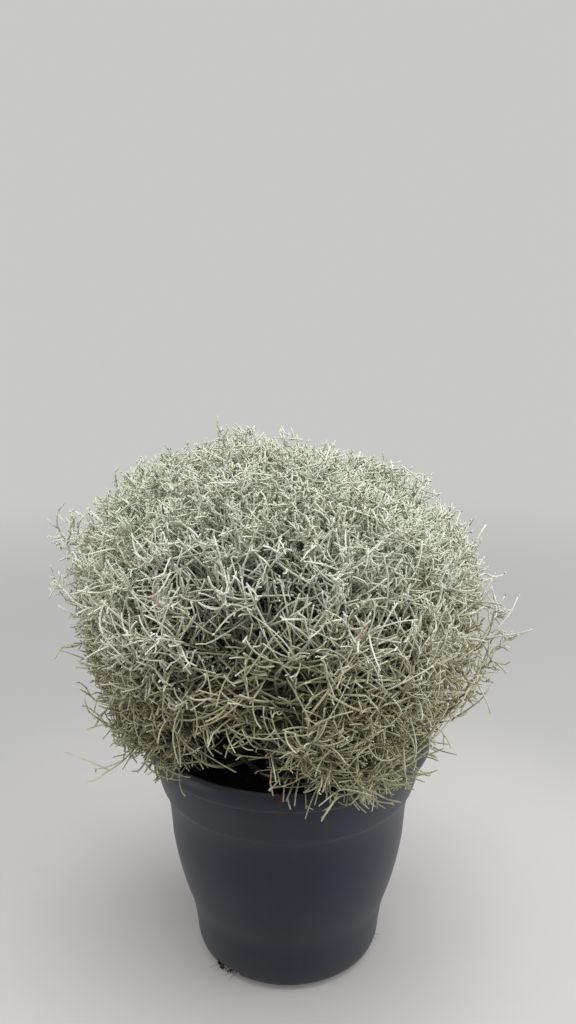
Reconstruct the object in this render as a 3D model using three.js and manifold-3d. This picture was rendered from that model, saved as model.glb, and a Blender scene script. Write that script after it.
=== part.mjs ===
// A cushion bush in a nursery pot: a wiry dome of silver twigs that overhangs the rim.
// Every leafy stem is one solid. It stands in its own hole in the soil, and limbs with forked
// shoots branch off it. The stems share the dome between them like the cells of a honeycomb,
// and each keeps to its own cell, so no two of them cross.
// Millimetres, +Z up. The origin is the centre of the pot's flat base, and the front is -Y.
import * as THREE from "three";
import { mergeVertices } from "three/addons/utils/BufferGeometryUtils.js";
import Module from "manifold-3d";

const wasm = await Module();
wasm.setup();

// Pot
const POT_HEIGHT = 232;
const RIM_RADIUS = 134;
const RIM_BAND = 25; // height of the upright band under the lip
const LIP = 6; // width of the lip's flat top
const WALL = 2;
const FLOOR = 3;
const FOOT_RADIUS = 84;
// Radius and height of the outside, from the foot's rounded edge up to the flare.
const POT_PROFILE = [
  [88, 4],
  [90, 26],
  [98, 58],
  [106.5, 95],
  [112, 140],
  [119, 178],
];
const POT_SIDES = 36;
const DRAIN_HOLES = 6;
const DRAIN_RADIUS = 6;
const DRAIN_CIRCLE = 45;
const EDGE_SLOTS = 3;
const SLOT_DEPTH = 14; // how far a slot cuts in from the foot's edge
const SLOT_WIDTH = 28;
const SLOT_HEIGHT = 7;
const FIRST_SLOT = THREE.MathUtils.degToRad(-131);

// Soil
const SOIL_TOP = 200;
const SOIL_RIM = 121; // radius of the soil where it meets the flare
const SOIL_EDGE = 194; // height there
const SOIL_GAP = 0.6; // between the soil and the pot
const SOIL_SIDES = 18;
const SOIL_LUMP = 3;
const HOLE_DEPTH = 16;
const HOLE_GAP = 0.6; // between a stem and its hole

// Dome of foliage
const DOME_CENTRE = new THREE.Vector3(-5, 0, 360);
const DOME_RADIUS = 197;
const DOME_RISE = 138; // from the widest ring up to the top
const DOME_DROP = 190; // how far down the lower curve would close
const DOME_POWER = 2.4; // over 2, which is an ellipse, the shoulders are fuller
const SWELL = 0.02; // how far the outline swells and dips on its way round
const LOWEST = Math.cos(THREE.MathUtils.degToRad(127)); // the skirt, which hangs over the rim
const CROWN_RADIUS = 62; // the stems stand in the soil inside this
const FOUNTAIN = 80; // how far the lowest stems arch up before they go over the rim

// Leafy stems. Places on the way from the soil to the outline are given as a share of it.
const STEMS = 34;
const STEM_SIDES = 5;
const STEM_RADIUS = 3;
const FIRST_LIMB = 0.24;
const LAST_LIMB = 0.42;
const STEM_END = 0.46;
const LIMBS = 194;
const LIMB_RADIUS = 2;
const TWIG_RADIUS = 1.6;
const TWIG_SIDES = 3;
// Where a limb bends and forks: how far its heading has swung from the stem's to its own, and
// how far along the way it is. A fork has shoots, which go on for a further length.
const BEND = { share: 0.55, along: 0.58 };
const FORKS = [
  { share: 0.7, along: 0.7, length: 0.17 },
  { share: 0.9, along: 0.85, length: 0.13 },
];
const FORK_LENGTH = 2.6; // the short stretch of a limb that its shoots rise from
const SWAY = 0.26; // how far a shoot's heading strays from its limb's
const FACING = 0.28; // how squarely a side faces the shoot that rises from it
const TRIES = 24;
const CLEARANCE = 3.2; // how far apart the middles of two twigs keep
const CELL_SHARE = 0.9; // how much of its cell a stem fills
const GOLDEN_ANGLE = Math.PI * (3 - Math.sqrt(5));
const SEED = 20;

// Twigs that stand out of the dome: heading round the pot in degrees, height on the dome
// from 1 at the top to LOWEST, and how far past the outline they reach.
const STRAGGLERS = [
  { turn: -8, level: -0.18, reach: 1.17 },
  { turn: -14, level: -0.36, reach: 1.2 },
  { turn: 178, level: 0.3, reach: 1.07 },
  { turn: 186, level: -0.5, reach: 1.09 },
  { turn: 158, level: 0.98, reach: 1.08 },
  { turn: 90, level: -0.2, reach: 1.08 },
  { turn: 62, level: 0.35, reach: 1.07 },
  { turn: -62, level: -0.62, reach: 1.06 },
];

const plastic = new THREE.MeshStandardMaterial({ color: 0x34373d, roughness: 0.55 });
const peat = new THREE.MeshStandardMaterial({ color: 0x17120e, roughness: 1 });
const felt = new THREE.MeshStandardMaterial({ color: 0xa9ae9b, roughness: 0.9 });

// A seeded random number from 0 to 1.
function randomFrom(seed) {
  let state = seed >>> 0;
  return () => {
    state = (Math.imul(state, 1664525) + 1013904223) >>> 0;
    return state / 4294967296;
  };
}

function solid(geometry) {
  const bare = geometry.index ? geometry.toNonIndexed() : geometry.clone();
  for (const name of Object.keys(bare.attributes))
    if (name !== "position") bare.deleteAttribute(name);
  const merged = mergeVertices(bare, 1e-4);
  return new wasm.Manifold(
    new wasm.Mesh({
      numProp: 3,
      vertProperties: merged.attributes.position.array,
      triVerts: new Uint32Array(merged.index.array),
    }),
  );
}

function meshOf(name, body, material) {
  const { vertProperties, triVerts } = body.getMesh();
  const geometry = new THREE.BufferGeometry();
  geometry.setAttribute("position", new THREE.BufferAttribute(vertProperties, 3));
  geometry.setIndex(new THREE.BufferAttribute(triVerts, 1));
  geometry.computeVertexNormals();
  const mesh = new THREE.Mesh(geometry, material);
  mesh.name = name;
  return mesh;
}

// A closed skin over rings of equally many points, with a fan to an end point at each end.
// A shoot is a spike that rises from the patch between two rings, on one side.
function loft(rings, start, end, shoots = []) {
  const sides = rings[0].length;
  const points = [...rings.flat(), start, end, ...shoots.map((shoot) => shoot.tip)];
  const first = rings.length * sides;
  const top = first - sides;
  const faces = [];
  for (let i = 0; i < sides; i += 1) {
    const j = (i + 1) % sides;
    faces.push(first, j, i, first + 1, top + i, top + j);
    for (let low = 0; low < top; low += sides) {
      const patch = [low + i, low + j, low + sides + j, low + sides + i];
      const shoot = shoots.findIndex(({ ring, side }) => ring * sides === low && side === i);
      if (shoot < 0) faces.push(patch[0], patch[1], patch[2], patch[0], patch[2], patch[3]);
      else patch.forEach((corner, k) => faces.push(corner, patch[(k + 1) % 4], first + 2 + shoot));
    }
  }
  const geometry = new THREE.BufferGeometry().setFromPoints(points);
  geometry.setIndex(faces);
  return geometry;
}

// A ring of points round each point of a path.
function ringsRound(path, radii, sides) {
  const across = new THREE.Vector3();
  return path.map((point, i) => {
    const from = path[Math.max(i - 1, 0)];
    const along = new THREE.Vector3().subVectors(path[Math.min(i + 1, path.length - 1)], from);
    along.normalize();
    if (i === 0) across.set(0, 0, 1).cross(along);
    if (across.length() < 0.2) across.set(1, 0, 0);
    across.addScaledVector(along, -across.dot(along)).normalize();
    const other = new THREE.Vector3().crossVectors(along, across);
    return Array.from({ length: sides }, (_, k) => {
      const turn = (2 * Math.PI * k) / sides;
      return point
        .clone()
        .addScaledVector(across, radii[i] * Math.cos(turn))
        .addScaledVector(other, radii[i] * Math.sin(turn));
    });
  });
}

// Headings spread evenly over the dome, from its top down to the skirt and past it.
function heading(index, count) {
  const level = 1 - ((index + 0.5) / count) * (1 - LOWEST);
  const turn = index * GOLDEN_ANGLE;
  const flat = Math.sqrt(1 - level * level);
  return new THREE.Vector3(flat * Math.cos(turn), flat * Math.sin(turn), level);
}

const stems = Array.from({ length: STEMS }, (_, i) => heading(i, STEMS));
// The headings past the skirt carry no stem, and only close the cells above them.
const spare = Math.floor(2 / ((1 - LOWEST) / STEMS)) - STEMS;
const cells = [...stems, ...Array.from({ length: spare }, (_, i) => heading(STEMS + i, STEMS))];

// How far out of a stem's cell a heading lies: 0 at the stem itself, 1 on the cell's edge.
function offCentre(cell, to) {
  const own = cells[cell];
  let most = 0;
  cells.forEach((other, j) => {
    if (j === cell) return;
    const gap = new THREE.Vector3().subVectors(own, other);
    most = Math.max(most, 1 - to.dot(gap) / own.dot(gap));
  });
  return most;
}

// The heading, drawn towards its stem until it lies within a share of the stem's cell.
function within(cell, to, share) {
  const off = offCentre(cell, to);
  if (off <= share) return to.clone().normalize();
  return new THREE.Vector3().lerpVectors(cells[cell], to, share / off).normalize();
}

// The heading part of the way from a stem's own heading to another.
const between = (cell, to, share) => new THREE.Vector3().lerpVectors(cells[cell], to, share);

function nearestCell(to) {
  const distances = cells.map((cell) => cell.distanceTo(to));
  return distances.indexOf(Math.min(...distances));
}

// The distance from the dome's centre to its outline, with three broad swells round it.
function outline(to) {
  const flat = Math.hypot(to.x, to.y) / DOME_RADIUS;
  const upright = Math.abs(to.z) / (to.z > 0 ? DOME_RISE : DOME_DROP);
  const turn = Math.atan2(to.y, to.x);
  const swell = 1 + SWELL * (1 - to.z * to.z) * Math.sin(3 * turn + 0.6);
  return swell / (flat ** DOME_POWER + upright ** DOME_POWER) ** (1 / DOME_POWER);
}

// The way a stem with this heading takes, from the soil at 0 to the outline at 1.
function wayTo(to) {
  const down = (1 - to.z) / (1 - LOWEST);
  const spread = (CROWN_RADIUS * Math.sqrt(down)) / Math.max(Math.hypot(to.x, to.y), 1e-6);
  const foot = new THREE.Vector3(to.x * spread, to.y * spread, SOIL_TOP);
  const edge = DOME_CENTRE.clone().addScaledVector(to, outline(to));
  const bend = new THREE.Vector3().lerpVectors(foot, edge, 0.5);
  bend.z += FOUNTAIN * down ** 3;
  return new THREE.QuadraticBezierCurve3(foot, bend, edge);
}

const place = (to, along) => wayTo(to).getPoint(along);

// The bare stem, from under the soil's surface up to where its limbs have forked off.
function bareStem(cell, below, radius) {
  const way = wayTo(cells[cell]);
  const foot = way.getPoint(0).addScaledVector(way.getTangent(0), -below);
  const path = [foot, way.getPoint(FIRST_LIMB), way.getPoint(LAST_LIMB)];
  return { path, rings: ringsRound(path, [radius, radius, radius * 0.8], STEM_SIDES) };
}

// A random step to one side, rather more often up than down.
const stray = (random, size) =>
  new THREE.Vector3(random() - 0.5, random() - 0.5, random() - 0.4).multiplyScalar(2 * size);

// Whether a straight run from one point to another keeps clear of all the runs already taken.
function isClear(from, to, taken) {
  const ahead = new THREE.Vector3().subVectors(to, from);
  const ray = new THREE.Ray(from, ahead.clone().normalize());
  const nearest = new THREE.Vector3();
  return taken.every(([start, end]) => {
    const gap = Math.sqrt(ray.distanceSqToSegment(start, end, nearest));
    return gap > CLEARANCE || nearest.distanceTo(from) > ahead.length() + CLEARANCE;
  });
}

// A limb from a root on the bare stem out to the dome's outline. Each of its forks has up to
// three shoots, which keep clear of the stem's other limbs and shoots.
function limb(cell, root, { to, reach }, taken, random) {
  const at = (share, along) => place(within(cell, between(cell, to, share), CELL_SHARE), along);
  const tip = at(1, reach);
  const path = [root, at(BEND.share, BEND.along)];
  const radii = [LIMB_RADIUS, LIMB_RADIUS];
  for (const { share, along } of FORKS) {
    const fork = at(share, along * reach);
    const ahead = new THREE.Vector3().subVectors(tip, fork).normalize();
    path.push(fork, fork.clone().addScaledVector(ahead, FORK_LENGTH));
    radii.push(TWIG_RADIUS, TWIG_RADIUS);
  }
  const rings = ringsRound(path, radii, TWIG_SIDES);
  const shoots = [];
  FORKS.forEach(({ along, length }, level) => {
    const ring = 2 + 2 * level;
    const fork = path[ring];
    for (let attempt = 0; attempt < TRIES; attempt += 1) {
      const away = within(cell, to.clone().add(stray(random, SWAY)), CELL_SHARE);
      const end = place(away, reach * (along + length * (0.8 + 0.2 * random())));
      const side = facingSide(rings[ring], fork, end);
      const used = shoots.some((shoot) => shoot.ring === ring && shoot.side === side);
      if (side < 0 || used || !isClear(fork, end, taken)) continue;
      shoots.push({ ring, side, tip: end });
      taken.push([fork.clone().lerp(end, 0.3), end]);
    }
  });
  path.slice(1).forEach((point, i) => taken.push([point, path[i + 2] ?? tip]));
  return solid(loft(rings, root, tip, shoots));
}

// The side of a ring that faces a shoot's end, or -1 if none faces it well enough.
function facingSide(ring, fork, end) {
  const ahead = new THREE.Vector3().subVectors(end, fork).normalize();
  const facing = ring.map((corner, i) => {
    const out = new THREE.Vector3().addVectors(corner, ring[(i + 1) % TWIG_SIDES]);
    return out.multiplyScalar(0.5).sub(fork).normalize().dot(ahead);
  });
  const most = Math.max(...facing);
  return most > FACING ? facing.indexOf(most) : -1;
}

function pot() {
  const outside = [
    [0, 0],
    [FOOT_RADIUS, 0],
    ...POT_PROFILE,
    [RIM_RADIUS - 1, POT_HEIGHT - RIM_BAND],
    [RIM_RADIUS, POT_HEIGHT - 3],
    [RIM_RADIUS - 2, POT_HEIGHT],
  ];
  const inside = [
    [0, FLOOR],
    [FOOT_RADIUS - WALL, FLOOR],
    ...POT_PROFILE.slice(1).map(([r, z]) => [r - WALL, z]),
    [RIM_RADIUS - LIP, POT_HEIGHT - RIM_BAND],
    [RIM_RADIUS - LIP, POT_HEIGHT],
  ];
  const profile = [...outside, ...inside.reverse()].map(([r, z]) => new THREE.Vector2(r, z));
  const shell = new THREE.LatheGeometry(profile, POT_SIDES).rotateX(Math.PI / 2);
  const cuts = [];
  for (let i = 0; i < DRAIN_HOLES; i += 1) {
    const turn = (2 * Math.PI * i) / DRAIN_HOLES;
    const hole = new THREE.CylinderGeometry(DRAIN_RADIUS, DRAIN_RADIUS, 4 * FLOOR, 8);
    hole.rotateX(Math.PI / 2).translate(DRAIN_CIRCLE, 0, 0).rotateZ(turn);
    cuts.push(solid(hole));
  }
  for (let i = 0; i < EDGE_SLOTS; i += 1) {
    const turn = FIRST_SLOT + (2 * Math.PI * i) / EDGE_SLOTS;
    const slot = new THREE.BoxGeometry(2 * SLOT_DEPTH, SLOT_WIDTH, 2 * SLOT_HEIGHT);
    cuts.push(solid(slot.translate(POT_PROFILE[0][0], 0, 0).rotateZ(turn)));
  }
  return solid(shell).subtract(wasm.Manifold.union(cuts));
}

function soil() {
  const inset = WALL + SOIL_GAP;
  const side = [
    [0, FLOOR + SOIL_GAP],
    [FOOT_RADIUS - inset, FLOOR + SOIL_GAP],
    ...POT_PROFILE.slice(1).map(([r, z]) => [r - inset, z]),
    [SOIL_RIM, SOIL_EDGE],
  ];
  const top = [0.8, 0.45, 0].map((share) => [share * SOIL_RIM, SOIL_TOP]);
  const profile = [...side, ...top].map(([r, z]) => new THREE.Vector2(r, z));
  const body = new THREE.LatheGeometry(profile, SOIL_SIDES).rotateX(Math.PI / 2);
  const points = body.attributes.position;
  for (let i = 0; i < points.count; i += 1) {
    if (points.getZ(i) <= SOIL_EDGE) continue;
    const [x, y] = [points.getX(i), points.getY(i)];
    const lump = Math.sin(x * 0.11 + 1) * Math.cos(y * 0.13) + Math.sin((x + y) * 0.07);
    points.setZ(i, SOIL_TOP + (SOIL_LUMP / 2) * lump);
  }
  const holes = stems.map((_, i) => {
    const { path, rings } = bareStem(i, HOLE_DEPTH, STEM_RADIUS + HOLE_GAP);
    return solid(loft(rings.slice(0, 2), path[0], path[2]));
  });
  return solid(body).subtract(wasm.Manifold.union(holes));
}

// One leafy stem: a bare stem, and the limbs that fork off it.
function leafyStem(cell, limbs, random) {
  const { path, rings } = bareStem(cell, HOLE_DEPTH - 1, STEM_RADIUS);
  const parts = [solid(loft(rings, path[0], place(cells[cell], STEM_END)))];
  const taken = [];
  limbs.forEach((target, i) => {
    const root = new THREE.Vector3().lerpVectors(path[1], path[2], i / limbs.length);
    parts.push(limb(cell, root, target, taken, random));
  });
  return wasm.Manifold.union(parts);
}

const bush = new THREE.Group();
bush.add(meshOf("pot", pot(), plastic));
bush.add(meshOf("soil", soil(), peat));

const random = randomFrom(SEED);
const limbsOf = cells.map(() => []);
for (let k = 0; k < LIMBS; k += 1) {
  const to = heading(k, LIMBS);
  limbsOf[nearestCell(to)].push({ to, reach: 0.98 + 0.05 * random() });
}
for (const { turn, level, reach } of STRAGGLERS) {
  const flat = Math.sqrt(1 - level * level);
  const angle = THREE.MathUtils.degToRad(turn);
  const to = new THREE.Vector3(flat * Math.cos(angle), flat * Math.sin(angle), level);
  limbsOf[nearestCell(to)].push({ to, reach });
}
stems.forEach((_, i) => {
  const name = `leafy_stem_${String(i + 1).padStart(2, "0")}`;
  bush.add(meshOf(name, leafyStem(i, limbsOf[i], random), felt));
});

export default bush;
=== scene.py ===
"""The potted cushion bush: a wiry silver bush that overhangs a dark plastic nursery pot.

Sizes are millimetres, as in the part's source, and a mesh gets metres. +Z is up, the front is -Y
and the origin is the middle of the pot's foot. The bush grows in generations: limbs rise from the
bare stems out to the dome's outline, branches leave the limbs, twigs leave the branches, and buds
stand on the twigs. Each leafy stem of the frame becomes one finer piece with all its twigs.
"""

import logging
import math
from dataclasses import dataclass, field, fields, replace
from enum import Enum

import bmesh
import bpy
import numpy as np
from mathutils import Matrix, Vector, noise


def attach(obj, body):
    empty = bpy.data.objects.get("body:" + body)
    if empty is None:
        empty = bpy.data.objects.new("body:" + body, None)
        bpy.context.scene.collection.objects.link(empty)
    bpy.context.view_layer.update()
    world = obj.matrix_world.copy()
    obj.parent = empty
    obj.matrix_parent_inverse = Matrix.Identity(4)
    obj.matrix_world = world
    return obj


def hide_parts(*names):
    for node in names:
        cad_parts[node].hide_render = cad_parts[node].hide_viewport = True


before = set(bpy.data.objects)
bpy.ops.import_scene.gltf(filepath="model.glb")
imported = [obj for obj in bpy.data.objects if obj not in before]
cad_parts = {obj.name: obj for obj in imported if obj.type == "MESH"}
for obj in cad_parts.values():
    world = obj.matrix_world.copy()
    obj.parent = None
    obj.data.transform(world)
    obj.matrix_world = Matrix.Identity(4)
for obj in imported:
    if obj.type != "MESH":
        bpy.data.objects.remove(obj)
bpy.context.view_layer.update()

MM = 0.001
GOLDEN_ANGLE = math.pi * (3 - math.sqrt(5))
BODY = "root"
BAKE_MAP = "OFBake"

log = logging.getLogger("cushion_bush")

Array = np.ndarray
Colour = tuple[float, float, float]
Place = tuple[float, float, float]
Zones = tuple[float, float, float]
Span = tuple[float, float]
Line = tuple[tuple[float, ...], tuple[float, ...]]
UPRIGHT = np.array([0.0, 0.0, 1.0])
# No length that something is divided by is less than this.
LEAST = 1e-9


class Slot(Enum):
    """The record's material slots."""

    PLASTIC = "pot_plastic"
    SOIL = "soil"
    TWIGS = "felted_twigs"


class Trait(Enum):
    """What a mesh knows of each of its points, for the finishes to read."""

    DEPTH = "depth"
    AGE = "age"
    TONE = "tone"
    DEAD = "dead"


# Vectors


def unit(vectors: Array) -> Array:
    """The vectors at length 1."""
    return vectors / np.maximum(np.linalg.norm(vectors, axis=-1, keepdims=True), LEAST)


def dot(left: Array, right: Array) -> Array:
    """Dot products along the last axis, which stays."""
    return (left * right).sum(-1, keepdims=True)


def mix(left: Array | float, right: Array | float, share: Array | float) -> Array:
    """Part of the way from left to right."""
    return left + (right - left) * share


def turned(first: Array, second: Array, turn: Array | float) -> Array:
    """Directions that are turned from the first towards the second, by radians."""
    return first * np.cos(turn) + second * np.sin(turn)


def full_turn(sides: int, start: float = 0.0) -> Array:
    """The turns of equal sides, in radians."""
    return start + 2 * math.pi * np.arange(sides) / sides


def round_axis(radius: Array | float, turn: Array | float, height: Array | float) -> Array:
    """Places round the upright axis, by their radius, turn in radians and height."""
    return np.stack(np.broadcast_arrays(radius * np.cos(turn), radius * np.sin(turn), height), -1)


def square_to(along: Array) -> tuple[Array, Array]:
    """Two directions square to each direction and to each other.

    Args:
        along: Unit vectors, with x, y, z last.

    Returns:
        The first is level, and the first, the second and along are right-handed.
    """
    steep = 0.05
    level = np.cross(UPRIGHT, along)
    short = np.linalg.norm(level, axis=-1, keepdims=True) < steep
    level = unit(np.where(short, np.array([1.0, 0.0, 0.0]), level))
    level = unit(level - along * dot(level, along))
    return level, np.cross(along, level)


def read(line: Line, at: Array) -> Array:
    """The heights of a broken line, which is given by its places and its heights."""
    return np.interp(at, *line)


def by_zone(values: Zones, zone: Array) -> Array:
    """A zone's value, where 0 is the top, 1 the sides and 2 the skirt."""
    return np.interp(zone, (0.0, 1.0, 2.0), values)


def even(value: float) -> Zones:
    """The same value for every zone."""
    return value, value, value


def placed(name: str, data: bpy.types.ID) -> bpy.types.Object:
    """Puts a mesh, a lamp or a camera into the scene.

    Args:
        name: The object's name.
        data: The mesh, lamp or camera.

    Returns:
        The object.
    """
    made = bpy.data.objects.new(name, data)
    bpy.context.scene.collection.objects.link(made)
    return made


# Finishes


class Tint:
    """A number that changes over a surface: a shader socket with Python's operators."""

    def __init__(self, shader: "Shader", socket: bpy.types.NodeSocket) -> None:
        """Wraps a node's output socket."""
        self.shader = shader
        self.socket = socket

    def _math(self, operation: str, *values: "Tint | float") -> "Tint":
        """A Math node over the values."""
        return self.shader.node("ShaderNodeMath", {"operation": operation}, dict(enumerate(values)))

    def __add__(self, other: "Tint | float") -> "Tint":
        """The sum."""
        return self._math("ADD", self, other)

    __radd__ = __add__

    def __sub__(self, other: "Tint | float") -> "Tint":
        """The difference."""
        return self._math("SUBTRACT", self, other)

    def __rsub__(self, other: float) -> "Tint":
        """A plain number less this one."""
        return self._math("SUBTRACT", other, self)

    def __mul__(self, other: "Tint | float") -> "Tint":
        """The product."""
        return self._math("MULTIPLY", self, other)

    __rmul__ = __mul__

    def __truediv__(self, other: "Tint | float") -> "Tint":
        """The quotient."""
        return self._math("DIVIDE", self, other)

    def __pow__(self, other: float) -> "Tint":
        """The power."""
        return self._math("POWER", self, other)

    def __abs__(self) -> "Tint":
        """The size without its sign."""
        return self._math("ABSOLUTE", self)

    def most(self, other: "Tint | float") -> "Tint":
        """The larger of the two."""
        return self._math("MAXIMUM", self, other)

    def swing(self, size: float) -> "Tint":
        """How far it is off its middle of 0.5, times a size."""
        return (self - 0.5) * size


@dataclass(frozen=True)
class Step:
    """A smooth step: nothing up to low, and its share from high on. High may be the lower one."""

    low: float
    high: float
    share: float = 1.0


@dataclass(frozen=True)
class Cloud:
    """Cloudy noise.

    Attributes:
        scale: How many clouds there are to a metre.
        detail: How many finer layers lie over the first.
        rough: How strong the finer layers are.
    """

    scale: float
    detail: float = 2.0
    rough: float = 0.5


class Shader:
    """Builds one material's nodes round a Principled BSDF."""

    def __init__(self, name: str) -> None:
        """Starts a material with only its output and its Principled BSDF.

        Args:
            name: The material's name.
        """
        self.material = bpy.data.materials.new(name)
        self.material.use_nodes = True
        self.tree = self.material.node_tree
        self.surface = next(n for n in self.tree.nodes if n.type == "BSDF_PRINCIPLED")

    def node(
        self,
        kind: str,
        settings: dict[str, object] | None = None,
        sockets: dict[str | int, object] | None = None,
        output: str | int = 0,
    ) -> Tint:
        """Adds one node.

        Args:
            kind: The node's type, such as ShaderNodeTexNoise.
            settings: The node's own settings, which are set before its sockets.
            sockets: Values or links by the socket's name or number.
            output: The output that is wanted.

        Returns:
            That output.
        """
        made = self.tree.nodes.new(kind)
        for name, value in (settings or {}).items():
            setattr(made, name, value)
        for name, value in (sockets or {}).items():
            self._feed(made.inputs[name], value)
        return Tint(self, made.outputs[output])

    def _feed(self, socket: bpy.types.NodeSocket, value: object) -> None:
        """Links a socket, or sets its value.

        Args:
            socket: The socket to feed.
            value: A tint, a colour or a plain value.
        """
        if isinstance(value, Tint):
            self.tree.links.new(value.socket, socket)
        elif isinstance(value, tuple) and len(value) == 3 and socket.type == "RGBA":
            socket.default_value = (*value, 1.0)
        else:
            socket.default_value = value

    def place(self) -> Tint:
        """Where a point of the surface is, in metres."""
        return self.node("ShaderNodeTexCoord", output="Object")

    def axes(self) -> tuple[Tint, ...]:
        """The x, y and z of each point, in metres."""
        split = self.node("ShaderNodeSeparateXYZ", None, {"Vector": self.place()})
        return tuple(Tint(self, output) for output in split.socket.node.outputs)

    def trait(self, trait: Trait) -> Tint:
        """A trait that the mesh holds for each point."""
        return self.node("ShaderNodeAttribute", {"attribute_name": trait.value}, output="Fac")

    def noise(self, cloud: Cloud, at: Tint | None = None) -> Tint:
        """Cloudy noise from 0 to 1 with a mean of about 0.5, read at the surface's own places or others."""
        sockets = {"Scale": cloud.scale, "Detail": cloud.detail, "Roughness": cloud.rough}
        return self.node("ShaderNodeTexNoise", None, {**sockets, "Vector": at or self.place()})

    def rise(self, value: Tint, step: Step) -> Tint:
        """A smooth step over a value.

        Args:
            value: The value.
            step: Where the step starts and ends, and how high it is.

        Returns:
            The step.
        """
        sockets = {"Value": value, "From Min": step.low, "From Max": step.high}
        risen = self.node("ShaderNodeMapRange", {"interpolation_type": "SMOOTHSTEP"}, sockets)
        return risen if step.share == 1.0 else risen * step.share

    def oval(self, across: Tint, height: Tint, middle: Span, size: Span) -> Tint:
        """How far each point is from an oval's middle, where 1 is its edge."""
        x, z = (across - middle[0]) / size[0], (height - middle[1]) / size[1]
        return (x**2.0 + z**2.0) ** 0.5

    def blend(self, share: Tint | float, first: Tint | Colour, second: Tint | Colour) -> Tint:
        """Two colours mixed, all of the second where the share is 1."""
        # A Mix node takes colours at its inputs 6 and 7, and gives one at its output 2.
        settings = {"data_type": "RGBA", "clamp_factor": True}
        return self.node("ShaderNodeMix", settings, {0: share, 6: first, 7: second}, 2)

    def bump(self, height: Tint, strength: float, distance: float) -> Tint:
        """A normal tilted by a height from 0 to 1, given how much it shows and how many metres 1 is."""
        sockets = {"Height": height, "Strength": strength, "Distance": distance}
        return self.node("ShaderNodeBump", None, sockets)

    def feed(self, sockets: dict[str, object]) -> bpy.types.Material:
        """Sets the Principled BSDF's sockets.

        Args:
            sockets: Values or links by the socket's name.

        Returns:
            The finished material.
        """
        for name, value in sockets.items():
            self._feed(self.surface.inputs[name], value)
        return self.material


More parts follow.
